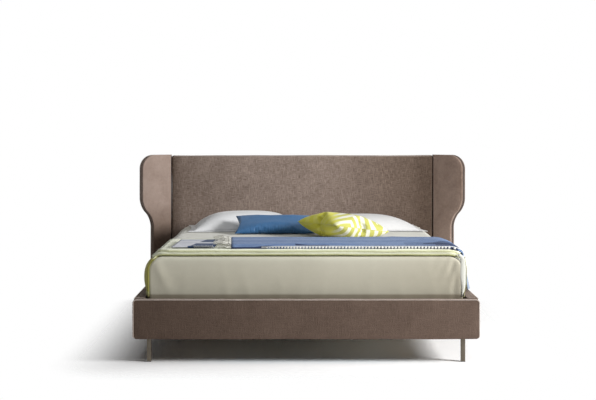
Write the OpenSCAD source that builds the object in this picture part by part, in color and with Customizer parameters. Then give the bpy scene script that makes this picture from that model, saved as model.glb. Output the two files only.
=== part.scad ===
/* [Mattress] */
// Width of the mattress
mattress_w = 1600; // [1400:10:1800]
// Length of the mattress
mattress_l = 2000; // [1900:10:2200]
// Height of the mattress
mattress_h = 250; // [200:5:300]
// Radius of the mattress's long top edges
mattress_edge_r = 70; // [40:5:90]
// Radius of its other edges
mattress_small_r = 22; // [10:1:30]
// Radius of its corners, seen from above
mattress_corner_r = 45; // [30:1:60]
// How far the mattress sinks below the top of the rails
mattress_sink = 45; // [30:1:80]

/* [Ring frame] */
// Height of the upholstered rails
rail_h = 200; // [160:5:260]
// Ground clearance under the rails
rail_z = 125; // [80:5:180]
// Thickness of the board inside a rail
core_t = 30; // [18:1:40]
// Padding on a rail's outer face
outer_pad = 20; // [10:1:30]
// Padding on a rail's top
top_pad = 20; // [10:1:30]
// Lining on a rail's inner face and under it
lining_t = 5; // [3:1:8]
// Radius of the padded long edges
rail_edge_r = 12; // [6:1:16]
// Radius of the foot rail's corners, seen from the front
rail_corner_r = 18; // [12:1:24]
// Radius of the welt along the top front edge
welt_r = 3; // [2:0.5:4]
// Gap between the mattress and a side rail
side_gap = 20; // [10:1:40]
// Gap between the mattress and the foot rail
foot_gap = 35; // [20:1:60]
// Gap between the mattress and the headboard
head_gap = 10; // [8:1:30]

/* [Headboard] */
// Height of the headboard above the floor
headboard_h = 1010; // [900:5:1200]
// Thickness of the padded panel
panel_t = 100; // [90:1:130]
// How far the panel runs past the rails on each side
panel_over = 10; // [0:1:40]
// Foam on the panel's face
panel_pad = 35; // [20:1:45]
// Padding on the panel's back, top and ends
panel_wrap = 12; // [6:1:16]
// Radius of the panel's padded edges
panel_edge_r = 12; // [6:1:16]
// Height of the floor glides under the headboard
glide_h = 20; // [10:1:30]
// Radius of those glides
glide_r = 18; // [12:1:24]

/* [Wings] */
// Angle by which the wings open forward
wing_angle = 35; // [20:1:50]
// Thickness of a wing
wing_t = 50; // [40:1:60]
// Width of a wing in its upper part
wing_top_w = 214; // [200:1:260]
// Width of a wing in its lower part
wing_low_w = 131; // [110:1:140]
// Height of the middle of the S-curve between the two widths
wing_curve_z = 630; // [560:5:700]
// Radius of both arcs of the S-curve
wing_curve_r = 130; // [110:1:180]
// Radius of the wing's upper corner
wing_corner_r = 95; // [60:1:110]
// How far a wing stands above the panel
wing_rise = 5; // [0:1:20]
// Thickness of a wing's padded facings
facing_t = 12; // [8:1:15]
// How far the facings' sewn edges stand out past the border band
facing_lip = 3; // [1:0.5:5]
// Width of the border band's padding over the board
border_pad = 15; // [10:1:20]

/* [Legs] */
// Side of the square leg bar
leg_w = 22; // [18:1:30]
// Side of the leg's mounting plate
leg_plate_w = 80; // [70:1:90]
// Thickness of the steel plates
plate_t = 4; // [3:0.5:6]
// Height of the plastic glide under a leg
leg_glide_h = 3; // [2:0.5:6]
// Gap between a leg and the rails' inner faces
leg_gap = 9; // [4:1:20]

/* [Slatted base] */
// Number of slats in each row
slat_count = 13; // [10:1:15]
// Width of a slat
slat_w = 68; // [50:1:75]
// Thickness of a slat
slat_t = 8; // [7:0.5:10]
// Rise of a bowed slat
slat_bow = 14; // [8:1:16]
// Distance from the end of the base to the first slat's middle
slat_margin = 95; // [90:1:110]
// Depth by which a slat sits in its holder
slat_grip = 22; // [16:1:26]
// Wall of a slat holder
holder_wall = 3; // [2.5:0.5:4]
// Height of the steel tubes
tube_h = 50; // [40:1:60]
// Width of the side and end tubes
tube_w = 25; // [20:1:30]
// Width of the centre tube
center_tube_w = 40; // [30:1:50]
// Wall of the tubes
tube_wall = 2; // [1.5:0.5:3]
// Gap between the base and the side rails' inner faces
base_gap = 25; // [15:1:35]
// How much shorter than the mattress the base is at each end
base_short = 5; // [0:1:20]
// Distance from the end of the mattress to the middle of the nearest bracket under the base
bracket_end = 200; // [170:10:300]
// Length of such a bracket
bracket_l = 60; // [50:1:100]
// Radius of the centre leg
center_leg_r = 20; // [15:1:25]
// Visible height of its screw-in foot
foot_h = 25; // [15:1:40]

/* [Fasteners] */
// Radius of the bolts
bolt_r = 4; // [3:0.5:5]
// Radius of a bolt's head
bolt_head_r = 7; // [6:0.5:8]
// Height of a bolt's head
bolt_head_h = 5; // [3:0.5:6]
// Clearance round a bolt in its hole
bolt_clear = 0.3; // [0.2:0.05:0.5]

/* [Bedding] */
// Thickness of the fitted sheet
sheet_t = 4; // [2:0.5:6]
// Width of the sheet's hem under the mattress
sheet_hem = 60; // [40:1:80]
// Thickness of the coverlet
coverlet_t = 10; // [6:1:14]
// How far the coverlet's sides swell outwards
coverlet_swell = 12; // [6:1:16]
// Height of the coverlet's side hem above the rails
coverlet_hem_gap = 8; // [4:1:30]
// Thickness of the turned-back part of the coverlet
fold_t = 28; // [16:1:36]
// Length of the turned-back part
fold_l = 650; // [500:10:800]
// Thickness of the blue throw
throw_t = 7; // [5:1:10]
// Length of the throw from front to back
throw_l = 590; // [450:10:700]
// Distance from the mattress's left side to the throw's fringed end
throw_inset = 370; // [330:5:450]
// Width of a pillow
pillow_w = 740; // [650:5:780]
// Depth of a pillow
pillow_d = 480; // [420:5:520]
// Height of a pillow
pillow_h = 115; // [90:1:140]
// Width of the blue cushion
blue_w = 490; // [420:5:520]
// Depth of the blue cushion
blue_d = 225; // [200:5:240]
// Height of the blue cushion
blue_h = 104; // [80:1:120]
// Side of the lime cushion
lime_w = 375; // [340:5:400]
// Height of the lime cushion
lime_h = 132; // [100:1:150]

/* [Hidden] */
$fn = 48;

// Clearance between soft things that rest on each other
rest_gap = 0.4;
// Overrun of a cutting shape past the face that it cuts
cut = 10;
// Overlap of plain shapes that make up one outline
lap = 1;

// The rails' thickness and the overall footprint
rail_t = outer_pad + core_t + lining_t;
base_w = mattress_w + 2 * (side_gap + rail_t);
bed_l = rail_t + foot_gap + mattress_l + head_gap + panel_t;
front_y = -bed_l / 2;
rail_back_y = front_y + rail_t;
mattress_front_y = rail_back_y + foot_gap;
mattress_mid_y = mattress_front_y + mattress_l / 2;
panel_y = mattress_front_y + mattress_l + head_gap;
inner_x = base_w / 2 - rail_t;
rail_top = rail_z + rail_h;
slat_top = rail_top - mattress_sink;
mattress_z = slat_top + rest_gap;

// The board inside each rail
core_z = rail_z + lining_t;
core_h = rail_h - lining_t - top_pad;
side_core_x = inner_x + lining_t;
side_rail_l = panel_y - rail_back_y;

// The panel of the headboard
panel_w = base_w + 2 * panel_over;
panel_core_w = panel_w - 2 * panel_wrap;
panel_core_t = panel_t - panel_pad - panel_wrap;
panel_core_h = headboard_h - panel_wrap - glide_h;
wing_top_z = headboard_h + wing_rise;
// Half the turn of each arc of the wing's S-curve, from the step in width
wing_step = wing_top_w - wing_low_w;
wing_turn = acos(1 - wing_step / (2 * wing_curve_r));
wing_core_v = facing_t;
wing_core_t = wing_t - 2 * facing_t;
wing_stud_z = [150, 500, 880];
wing_stud_in = 55;
wing_stud_out = 60;
wing_glide_u = 62;
panel_glide_x = 600;
glide_pin_r = 3;
glide_pin_l = 20;

// Steel brackets
flange_h = 120;
flange_l = 100;
bracket_z = core_z;
head_bracket_z = core_z + 20;
bolt_rise = [25, 95];
bolt_reach = 70;
bolt_bite = 20;
leg_x = inner_x - leg_gap - leg_w / 2;
leg_y = rail_back_y + leg_gap + leg_w / 2;
leg_plate_z = bracket_z - plate_t;
leg_screw_inset = 12;
leg_screw_r = 3;

// The slatted base
bracket_pitch = mattress_l / 2 - bracket_end;
base_half_w = inner_x - base_gap;
base_front_y = mattress_front_y + base_short;
base_l = mattress_l - 2 * base_short;
slat_inner_x = 4;
slat_outer_x = base_half_w - 7;
slat_half = (slat_outer_x - slat_inner_x) / 2;
slat_mid_x = (slat_outer_x + slat_inner_x) / 2;
slat_r = slat_half * slat_half / (2 * slat_bow) + slat_bow / 2;
slat_seat_z = slat_top - slat_bow - slat_t;
tube_top = slat_seat_z - holder_wall;
tube_z = tube_top - tube_h;
slat_pitch = (base_l - 2 * slat_margin) / (slat_count - 1);
slat_clear = 0.3;
holder_h = 2 * holder_wall + slat_t + 2;
ledge_t = 3;
ledge_w = 45;
ledge_h = 60;
base_screw_drop = 38;
base_screw_dy = 18;
plug_flange = 3;
plug_depth = 15;
plug_clear = 0.2;
leg_head_h = plate_t;
foot_stem_r = 5;
foot_stem_l = 40;
foot_flare = 5;

// The bedding, from the mattress up
sheet_gap = 0.5;
sheet_top = mattress_z + mattress_h + sheet_gap + sheet_t;
drape_flat = mattress_w / 2 - mattress_edge_r;
drape_r = mattress_edge_r + sheet_gap + sheet_t;
drape_arc = drape_r * PI / 2;
coverlet_drop = sheet_top - drape_r - rail_top - coverlet_hem_gap;
coverlet_off = rest_gap;
coverlet_top = coverlet_off + coverlet_t;
fold_off = coverlet_top + rest_gap;
fold_over_left = 30;
fold_over_right = 55;
fold_left = drape_flat + fold_over_left;
fold_right = drape_flat + fold_over_right;
fold_front_y = mattress_front_y + 2;
fold_round = 20;
throw_off = fold_off + fold_t + rest_gap;
throw_front_y = fold_front_y + 18;
throw_drop = coverlet_drop - 1;
throw_left = mattress_w / 2 - throw_inset;
striped_gap = 45;
striped_w = 215;
striped_right = throw_left + striped_gap;
striped_left = striped_right + striped_w;
striped_t = 8;
striped_l = 420;
bed_top = sheet_top + coverlet_top;
pillow_x = 370;
pillow_gap = 125;
pillow_y = panel_y - pillow_gap - pillow_d / 2;
blue_x = -190;
blue_gap = 5;
blue_y = pillow_y - pillow_d / 2 - blue_d / 2 - blue_gap;
lime_x = 222;
lime_from_blue = 245;
lime_y = blue_y - lime_from_blue;
lime_turn = -11;

// Rounded rectangle centred on the origin
module soft_rect(w, h, r) {
    square([w - 2 * r, h], center = true);
    square([w, h - 2 * r], center = true);
    for (x = [-1, 1], y = [-1, 1])
        translate([x * (w / 2 - r), y * (h / 2 - r)])
            circle(r);
}

// A section drawn with X across and Z up, run along Y from y0 over length l
module run_y(y0, l) {
    translate([0, y0 + l, 0])
        rotate([90, 0, 0])
            linear_extrude(l)
                children();
}

// A section drawn with Y across and Z up, run along X from x0 over length l
module run_x(x0, l) {
    translate([x0, 0, 0])
        rotate([90, 0, 90])
            linear_extrude(l)
                children();
}

// Bolt with its head at the origin, its shank along +Z
module bolt(l, r = bolt_r, head_r = bolt_head_r, head_h = bolt_head_h) {
    cylinder(r = r, h = l);
    translate([0, 0, -head_h])
        cylinder(r = head_r, h = head_h);
}

// Hole for the shank of such a bolt
module bolt_hole(l, r = bolt_r) {
    translate([0, 0, -cut])
        cylinder(r = r + bolt_clear, h = l + cut + 1);
}

// The pieces of the right half, mirrored to the left where asked
module sided(side) {
    mirror([side < 0 ? 1 : 0, 0, 0])
        children();
}

// Places of the bolts that join the side rail to the corner bracket and the headboard bracket
module side_bolts() {
    for (z = bolt_rise) {
        translate([inner_x - plate_t, rail_back_y + bolt_reach, bracket_z + z])
            rotate([0, 90, 0])
                children();
        translate([inner_x - plate_t, panel_y - bolt_reach, head_bracket_z + z])
            rotate([0, 90, 0])
                children();
    }
}

// Places of the bolts that join the corner bracket to the foot rail
module foot_bolts() {
    for (z = bolt_rise)
        translate([inner_x - bolt_reach, rail_back_y + plate_t, bracket_z + z])
            rotate([90, 0, 0])
                children();
}

// Places of the bolts that join the rail bracket to the headboard
module panel_bolts() {
    for (z = bolt_rise)
        translate([inner_x - bolt_reach, panel_y - plate_t, head_bracket_z + z])
            rotate([-90, 0, 0])
                children();
}

// Places of the screws that hold the base's brackets on the side rail
module ledge_screws() {
    for (i = [-1:1], dy = [-base_screw_dy, base_screw_dy])
        translate([inner_x - ledge_t, mattress_mid_y + i * bracket_pitch + dy, tube_z - base_screw_drop])
            rotate([0, 90, 0])
                children();
}

// Board inside the foot rail, bored for the corner bolts
module foot_rail_core() {
    color("burlywood")
        difference() {
            translate([-base_w / 2 + outer_pad, front_y + outer_pad, core_z])
                cube([base_w - 2 * outer_pad, core_t, core_h]);
            for (side = [-1, 1])
                sided(side)
                    foot_bolts()
                        bolt_hole(plate_t + lining_t + bolt_bite);
        }
}

// Padded cover of the foot rail: rounded in section and at its ends, open under the board
module foot_rail_cover() {
    color("rosybrown")
        difference() {
            union() {
                intersection() {
                    run_x(-base_w / 2, base_w)
                        translate([front_y + rail_t / 2, rail_z + rail_h / 2])
                            soft_rect(rail_t, rail_h, rail_edge_r);
                    run_y(front_y - 1, rail_t + 2)
                        translate([0, rail_z + rail_h / 2])
                            soft_rect(base_w, rail_h, rail_corner_r);
                }
                welt_in = rail_edge_r * (1 - cos(45));
                translate([rail_corner_r - base_w / 2, front_y + welt_in, rail_top - welt_in])
                    rotate([0, 90, 0])
                        cylinder(r = welt_r, h = base_w - 2 * rail_corner_r);
            }
            translate([-base_w / 2 + outer_pad, front_y + outer_pad, core_z])
                cube([base_w - 2 * outer_pad, core_t, core_h]);
            translate([-base_w / 2 + 2 * outer_pad, front_y + outer_pad + lining_t, rail_z - cut])
                cube([base_w - 4 * outer_pad, core_t - 2 * lining_t, 2 * cut]);
            for (side = [-1, 1])
                sided(side)
                    foot_bolts()
                        bolt_hole(plate_t + lining_t + 2);
        }
}

// Board inside a side rail, from the foot rail's back to the headboard's face
module side_rail_core(side) {
    color("burlywood")
        sided(side)
            difference() {
                translate([side_core_x, rail_back_y, core_z])
                    cube([core_t, side_rail_l, core_h]);
                side_bolts()
                    bolt_hole(plate_t + lining_t + bolt_bite);
                ledge_screws()
                    bolt_hole(ledge_t + lining_t + bolt_bite);
            }
}

// Padded cover of a side rail, open under the board
module side_rail_cover(side) {
    color("rosybrown")
        sided(side)
            difference() {
                union() {
                    run_y(rail_back_y, side_rail_l)
                        translate([inner_x + rail_t / 2, rail_z + rail_h / 2])
                            soft_rect(rail_t, rail_h, rail_edge_r);
                    welt_in = rail_edge_r * (1 - cos(45));
                    translate([base_w / 2 - welt_in, rail_back_y, rail_top - welt_in])
                        rotate([-90, 0, 0])
                            cylinder(r = welt_r, h = side_rail_l);
                }
                translate([side_core_x, rail_back_y - cut, core_z])
                    cube([core_t, side_rail_l + 2 * cut, core_h]);
                translate([side_core_x + lining_t, rail_back_y - cut, rail_z - cut])
                    cube([core_t - 2 * lining_t, side_rail_l + 2 * cut, 2 * cut]);
                side_bolts()
                    bolt_hole(plate_t + lining_t + 2);
                ledge_screws()
                    bolt_hole(ledge_t + lining_t + 2);
            }
}

// Steel bracket inside a front corner: two flanges against the rails and a shelf for the leg
module corner_bracket(side) {
    color("dimgray")
        sided(side)
            difference() {
                union() {
                    translate([inner_x - plate_t, rail_back_y, bracket_z])
                        cube([plate_t, flange_l, flange_h]);
                    translate([inner_x - flange_l, rail_back_y, bracket_z])
                        cube([flange_l, plate_t, flange_h]);
                    translate([inner_x - flange_l, rail_back_y, bracket_z])
                        cube([flange_l, flange_l, plate_t]);
                }
                for (z = bolt_rise)
                    translate([inner_x - plate_t, rail_back_y + bolt_reach, bracket_z + z])
                        rotate([0, 90, 0])
                            bolt_hole(plate_t);
                foot_bolts()
                    bolt_hole(plate_t);
                leg_screw_places()
                    bolt_hole(2 * plate_t, leg_screw_r);
            }
}

// Angle bracket between the rear end of a side rail and the headboard
module headboard_bracket(side) {
    color("dimgray")
        sided(side)
            difference() {
                union() {
                    translate([inner_x - plate_t, panel_y - flange_l, head_bracket_z])
                        cube([plate_t, flange_l, flange_h]);
                    translate([inner_x - flange_l, panel_y - plate_t, head_bracket_z])
                        cube([flange_l, plate_t, flange_h]);
                }
                for (z = bolt_rise)
                    translate([inner_x - plate_t, panel_y - bolt_reach, head_bracket_z + z])
                        rotate([0, 90, 0])
                            bolt_hole(plate_t);
                panel_bolts()
                    bolt_hole(plate_t);
            }
}

// Bolts of the front corners and of the side rails' rear ends
module corner_bolts() {
    color("silver")
        for (side = [-1, 1])
            sided(side) {
                side_bolts()
                    bolt(plate_t + lining_t + bolt_bite);
                foot_bolts()
                    bolt(plate_t + lining_t + bolt_bite);
            }
}

// Bolts that draw the rails to the headboard
module headboard_bolts() {
    color("silver")
        for (side = [-1, 1])
            sided(side)
                panel_bolts()
                    bolt(plate_t + panel_pad + bolt_bite);
}

// The right wing's own frame: X runs outward along the wing, Y through it from the front
module wing_frame() {
    translate([panel_w / 2, panel_y, 0])
        rotate([0, 0, -wing_angle])
            children();
}

// Everything beyond the plane of the panel's end, where the wing is cut to fit
module beyond_panel() {
    reach = 2 * wing_top_w;
    translate([panel_w / 2, panel_y - reach, 0])
        cube([reach, 2 * reach, wing_top_z + cut]);
}

// Outline of a wing, drawn in by inset: narrow below, an S-curve of two arcs, a round top corner
module wing_outline(inset) {
    start = -2 * wing_t;
    out_r = wing_curve_r - inset;
    in_r = wing_curve_r + inset;
    high_z = wing_curve_z + wing_curve_r * sin(wing_turn);
    low_z = wing_curve_z - wing_curve_r * sin(wing_turn);
    high_u = wing_top_w - wing_curve_r;
    low_u = wing_low_w + wing_curve_r;
    // Where the two arcs meet once the outline is drawn in
    meet_u = high_u + out_r * cos(wing_turn);
    meet_z = high_z - out_r * sin(wing_turn);
    top = wing_top_z - inset;
    edge = wing_top_w - inset;
    corner = wing_corner_r - inset;
    difference() {
        translate([start, glide_h])
            square([meet_u - start, meet_z - glide_h + lap]);
        translate([low_u, low_z])
            circle(in_r);
        translate([wing_low_w - inset, glide_h - cut])
            square([wing_top_w, low_z - glide_h + cut]);
    }
    translate([start, meet_z - lap])
        square([high_u - start + lap, high_z - meet_z + 2 * lap]);
    intersection() {
        translate([high_u, high_z])
            circle(out_r);
        translate([high_u, meet_z])
            square([out_r + cut, high_z - meet_z + lap]);
    }
    translate([start, high_z])
        square([edge - start, top - corner - high_z]);
    translate([start, top - corner - lap])
        square([edge - corner - start, corner + lap]);
    translate([edge - corner, top - corner])
        circle(corner);
}

// A layer of the wing with that outline, from v0 over thickness t, cut along the panel's end
module wing_layer(v0, t, inset) {
    intersection() {
        wing_frame()
            run_y(v0, t)
                wing_outline(inset);
        beyond_panel();
    }
}

// Places of the studs between the panel and a wing, along the wing's own direction
module stud_places() {
    wing_frame()
        for (z = wing_stud_z)
            translate([0, wing_t / 2, z])
                rotate([0, 90, 0])
                    children();
}

module stud_hole() {
    translate([0, 0, -wing_stud_in - 1])
        cylinder(r = bolt_r + bolt_clear, h = wing_stud_in + wing_stud_out + 2);
}

// Places of the four floor glides
module glide_places() {
    for (x = [-panel_glide_x, panel_glide_x])
        translate([x, panel_y + panel_pad + panel_core_t / 2, 0])
            children();
    for (side = [-1, 1])
        sided(side)
            wing_frame()
                translate([wing_glide_u, wing_t / 2, 0])
                    children();
}

module glide_hole() {
    translate([0, 0, glide_h - 1])
        cylinder(r = glide_pin_r + bolt_clear, h = glide_pin_l + 2);
}

// Board inside the headboard's panel
module headboard_core() {
    color("burlywood")
        difference() {
            translate([-panel_core_w / 2, panel_y + panel_pad, glide_h])
                cube([panel_core_w, panel_core_t, panel_core_h]);
            for (side = [-1, 1])
                sided(side) {
                    panel_bolts()
                        bolt_hole(plate_t + panel_pad + bolt_bite);
                    stud_places()
                        stud_hole();
                }
            glide_places()
                glide_hole();
        }
}

// Padded cover of the panel, pulled over the board from above and open below
module headboard_cover() {
    mid_y = panel_y + panel_t / 2;
    mid_z = glide_h + (headboard_h - glide_h) / 2;
    color("rosybrown")
        difference() {
            intersection() {
                run_x(-panel_w / 2, panel_w)
                    translate([mid_y, mid_z])
                        soft_rect(panel_t, headboard_h - glide_h, panel_edge_r);
                translate([0, mid_y, 0])
                    linear_extrude(headboard_h + cut)
                        soft_rect(panel_w, panel_t, panel_edge_r);
            }
            translate([-panel_core_w / 2, panel_y + panel_pad, glide_h - cut])
                cube([panel_core_w, panel_core_t, panel_core_h + cut]);
            for (side = [-1, 1])
                sided(side) {
                    panel_bolts()
                        bolt_hole(plate_t + panel_pad + 2);
                    stud_places()
                        stud_hole();
                }
        }
}

// Board inside a wing
module wing_core(side) {
    color("burlywood")
        sided(side)
            difference() {
                wing_layer(wing_core_v, wing_core_t, border_pad);
                stud_places()
                    stud_hole();
                wing_frame()
                    translate([wing_glide_u, wing_t / 2, 0])
                        glide_hole();
            }
}

// Padded facing on the inner side of a wing
module wing_front_facing(side) {
    color("rosybrown")
        sided(side)
            wing_layer(0, facing_t, 0);
}

// Padded facing on the outer side of a wing
module wing_back_facing(side) {
    color("rosybrown")
        sided(side)
            wing_layer(wing_t - facing_t, facing_t, 0);
}

// Border band sewn between the facings, round the edge of the board
module wing_border(side) {
    color("sienna")
        sided(side)
            difference() {
                wing_layer(wing_core_v, wing_core_t, facing_lip);
                wing_frame()
                    run_y(wing_core_v - cut, wing_core_t + 2 * cut)
                        wing_outline(border_pad);
                wing_frame()
                    translate([-2 * wing_t, wing_core_v - cut, 0])
                        cube([2 * wing_t + wing_low_w - border_pad, wing_core_t + 2 * cut, glide_h + cut]);
            }
}

// Studs that hold the wings against the panel's ends
module wing_studs() {
    color("silver")
        for (side = [-1, 1])
            sided(side)
                stud_places()
                    translate([0, 0, -wing_stud_in])
                        cylinder(r = bolt_r, h = wing_stud_in + wing_stud_out);
}

// Nailed plastic glides under the panel and the wings
module headboard_glides() {
    color("dimgray")
        glide_places() {
            cylinder(r = glide_r, h = glide_h);
            cylinder(r = glide_pin_r, h = glide_h + glide_pin_l);
        }
}

// Places of the three screws that hold a leg's plate under the bracket's shelf
module leg_screw_places() {
    near_x = leg_x + leg_w / 2 - leg_screw_inset;
    far_x = leg_x + leg_w / 2 - leg_plate_w + leg_screw_inset;
    near_y = leg_y - leg_w / 2 + leg_screw_inset;
    far_y = leg_y - leg_w / 2 + leg_plate_w - leg_screw_inset;
    for (p = [[near_x, far_y], [far_x, far_y], [far_x, near_y]])
        translate([p[0], p[1], leg_plate_z])
            children();
}

// Square metal leg welded under its mounting plate
module leg(side) {
    color("darkkhaki")
        sided(side)
            difference() {
                union() {
                    translate([leg_x - leg_w / 2, leg_y - leg_w / 2, leg_glide_h])
                        cube([leg_w, leg_w, leg_plate_z - leg_glide_h]);
                    translate([leg_x + leg_w / 2 - leg_plate_w, leg_y - leg_w / 2, leg_plate_z])
                        cube([leg_plate_w, leg_plate_w, plate_t]);
                }
                leg_screw_places()
                    bolt_hole(2 * plate_t, leg_screw_r);
            }
}

// Screws of the leg plates
module leg_screws() {
    color("silver")
        for (side = [-1, 1])
            sided(side)
                leg_screw_places()
                    bolt(2 * plate_t + 2, leg_screw_r, 2 * leg_screw_r, leg_screw_r);
}

// Plastic glides under the legs
module leg_glides() {
    color("black")
        for (side = [-1, 1])
            sided(side)
                translate([leg_x - leg_w / 2, leg_y - leg_w / 2, 0])
                    cube([leg_w, leg_w, leg_glide_h]);
}

// Angle brackets on the side rails, on which the base's side tubes lie
module base_brackets() {
    color("dimgray")
        for (side = [-1, 1])
            sided(side)
                difference() {
                    for (i = [-1:1])
                        translate([0, mattress_mid_y + i * bracket_pitch - bracket_l / 2, 0]) {
                            translate([inner_x - ledge_t, 0, tube_z - ledge_h])
                                cube([ledge_t, bracket_l, ledge_h]);
                            translate([inner_x - ledge_w, 0, tube_z - ledge_t])
                                cube([ledge_w, bracket_l, ledge_t]);
                        }
                    ledge_screws()
                        bolt_hole(ledge_t);
                }
}

// Screws of those brackets
module base_screws() {
    color("silver")
        for (side = [-1, 1])
            sided(side)
                ledge_screws()
                    bolt(ledge_t + lining_t + bolt_bite);
}

// Section of a rectangular tube
module tube_section(w) {
    difference() {
        square([w, tube_h]);
        translate([tube_wall, tube_wall])
            square([w - 2 * tube_wall, tube_h - 2 * tube_wall]);
    }
}

// Side tube of the slatted base
module base_side_tube(side) {
    color("gray")
        sided(side)
            run_y(base_front_y, base_l)
                translate([base_half_w - tube_w, tube_z])
                    tube_section(tube_w);
}

// Tube across the base at its head or foot end
module base_end_tube(y0) {
    color("gray")
        run_x(tube_w - base_half_w, 2 * (base_half_w - tube_w))
            translate([y0, tube_z])
                tube_section(tube_w);
}

// Centre tube between the end tubes
module base_center_tube() {
    color("gray")
        run_y(base_front_y + tube_w, base_l - 2 * tube_w)
            translate([-center_tube_w / 2, tube_z])
                tube_section(center_tube_w);
}

// Plastic plugs in the open ends of the side tubes
module tube_plugs() {
    stem_inset = tube_wall + plug_clear;
    color("black")
        for (side = [-1, 1], end = [-1, 1])
            sided(side)
                translate([base_half_w - tube_w, mattress_mid_y, tube_z])
                    mirror([0, end < 0 ? 1 : 0, 0])
                        translate([0, base_l / 2, 0]) {
                            cube([tube_w, plug_flange, tube_h]);
                            translate([stem_inset, -plug_depth, stem_inset])
                                cube([tube_w - 2 * stem_inset, plug_depth, tube_h - 2 * stem_inset]);
                        }
}

// Section of a bowed slat in the right row, grown by clear all round
module slat_section(clear) {
    center_z = slat_top - slat_r;
    intersection() {
        difference() {
            translate([slat_mid_x, center_z])
                circle(slat_r + clear, $fn = 720);
            translate([slat_mid_x, center_z])
                circle(slat_r - slat_t - clear, $fn = 720);
        }
        translate([slat_inner_x - clear, slat_seat_z - 2 * slat_t])
            square([2 * (slat_half + clear), slat_bow + 4 * slat_t]);
    }
}

// Middles of the slats along the bed
function slat_y(i) = base_front_y + slat_margin + i * slat_pitch;

// Row of bowed beech slats
module slat_row(side) {
    color("wheat")
        sided(side)
            for (i = [0:slat_count - 1])
                run_y(slat_y(i) - slat_w / 2, slat_w)
                    slat_section(0);
}

// Row of holders over a span of X, each with a pocket for the ends of its slats
module holder_row(x0, x1, both) {
    holder_l = slat_w + 2 * holder_wall;
    for (i = [0:slat_count - 1])
        difference() {
            translate([x0, slat_y(i) - holder_l / 2, tube_top])
                cube([x1 - x0, holder_l, holder_h]);
            run_y(slat_y(i) - slat_w / 2 - slat_clear, slat_w + 2 * slat_clear)
                slat_section(slat_clear);
            if (both)
                mirror([1, 0, 0])
                    run_y(slat_y(i) - slat_w / 2 - slat_clear, slat_w + 2 * slat_clear)
                        slat_section(slat_clear);
        }
}

// Slat holders on a side tube
module slat_holders(side) {
    color("black")
        sided(side)
            holder_row(slat_outer_x - slat_grip, slat_outer_x + holder_wall, false);
}

// Double slat holders on the centre tube
module slat_holders_center() {
    color("black")
        holder_row(-slat_inner_x - slat_grip, slat_inner_x + slat_grip, true);
}

// Steel leg under the middle of the centre tube
module center_leg() {
    color("gray")
        translate([0, mattress_mid_y, 0])
            difference() {
                union() {
                    translate([0, 0, foot_h])
                        cylinder(r = center_leg_r, h = tube_z - leg_head_h - foot_h);
                    translate([-center_tube_w / 2, -leg_plate_w / 2, tube_z - leg_head_h])
                        cube([center_tube_w, leg_plate_w, leg_head_h]);
                }
                translate([0, 0, foot_h - 1])
                    cylinder(r = foot_stem_r + bolt_clear, h = foot_stem_l + 2);
            }
}

// Plastic foot on a threaded stem that screws into the centre leg
module center_leg_foot() {
    color("black")
        translate([0, mattress_mid_y, 0]) {
            cylinder(r1 = center_leg_r + foot_flare, r2 = center_leg_r, h = foot_h);
            cylinder(r = foot_stem_r, h = foot_h + foot_stem_l);
        }
}

// The mattress's form, grown by g on every side
module mattress_form(g) {
    w = mattress_w + 2 * g;
    l = mattress_l + 2 * g;
    h = mattress_h + 2 * g;
    edge = mattress_edge_r + g;
    small = mattress_small_r + g;
    intersection() {
        run_y(mattress_front_y - g, l)
            translate([0, mattress_z - g]) {
                translate([0, h / 2])
                    square([w, h - 2 * edge], center = true);
                translate([0, h - edge])
                    square([w - 2 * edge, 2 * edge], center = true);
                translate([0, edge / 2])
                    square([w - 2 * small, edge], center = true);
                translate([0, (small + edge) / 2])
                    square([w, edge - small], center = true);
                for (x = [-1, 1]) {
                    translate([x * (w / 2 - edge), h - edge])
                        circle(edge);
                    translate([x * (w / 2 - small), small])
                        circle(small);
                }
            }
        run_x(-w / 2 - cut, w + 2 * cut)
            translate([mattress_mid_y, mattress_z + mattress_h / 2])
                soft_rect(l, h, small);
        translate([0, mattress_mid_y, mattress_z - g - cut])
            linear_extrude(h + 2 * cut)
                soft_rect(w, l, mattress_corner_r + g);
    }
}

module mattress() {
    color("ivory")
        mattress_form(0);
}

// Fitted sheet round the mattress, with a hem gathered under it
module fitted_sheet() {
    color("tan")
        difference() {
            mattress_form(sheet_gap + sheet_t);
            mattress_form(sheet_gap);
            translate([0, mattress_mid_y, mattress_z - cut])
                linear_extrude(2 * cut)
                    soft_rect(mattress_w - 2 * sheet_hem, mattress_l - 2 * sheet_hem, mattress_corner_r);
        }
}

// Where a cloth lies that hangs over the made bed: s is its way from the middle line,
// positive to the right, off its distance above the fitted sheet
function drape(s, off) =
    let (a = abs(s), side = sign(s), over = a - drape_flat, turn = min(over / drape_r, PI / 2) * 180 / PI)
    over <= 0 ? [s, sheet_top + off]
    : over <= drape_arc
        ? [side * (drape_flat + (drape_r + off) * sin(turn)), sheet_top - drape_r + (drape_r + off) * cos(turn)]
        : [side * (drape_flat + drape_r + off + swell(over - drape_arc)), sheet_top - drape_r - over + drape_arc];

// The hanging side swells out in its middle
function swell(d) = coverlet_swell * sin(180 * min(d / coverlet_drop, 1));

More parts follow.
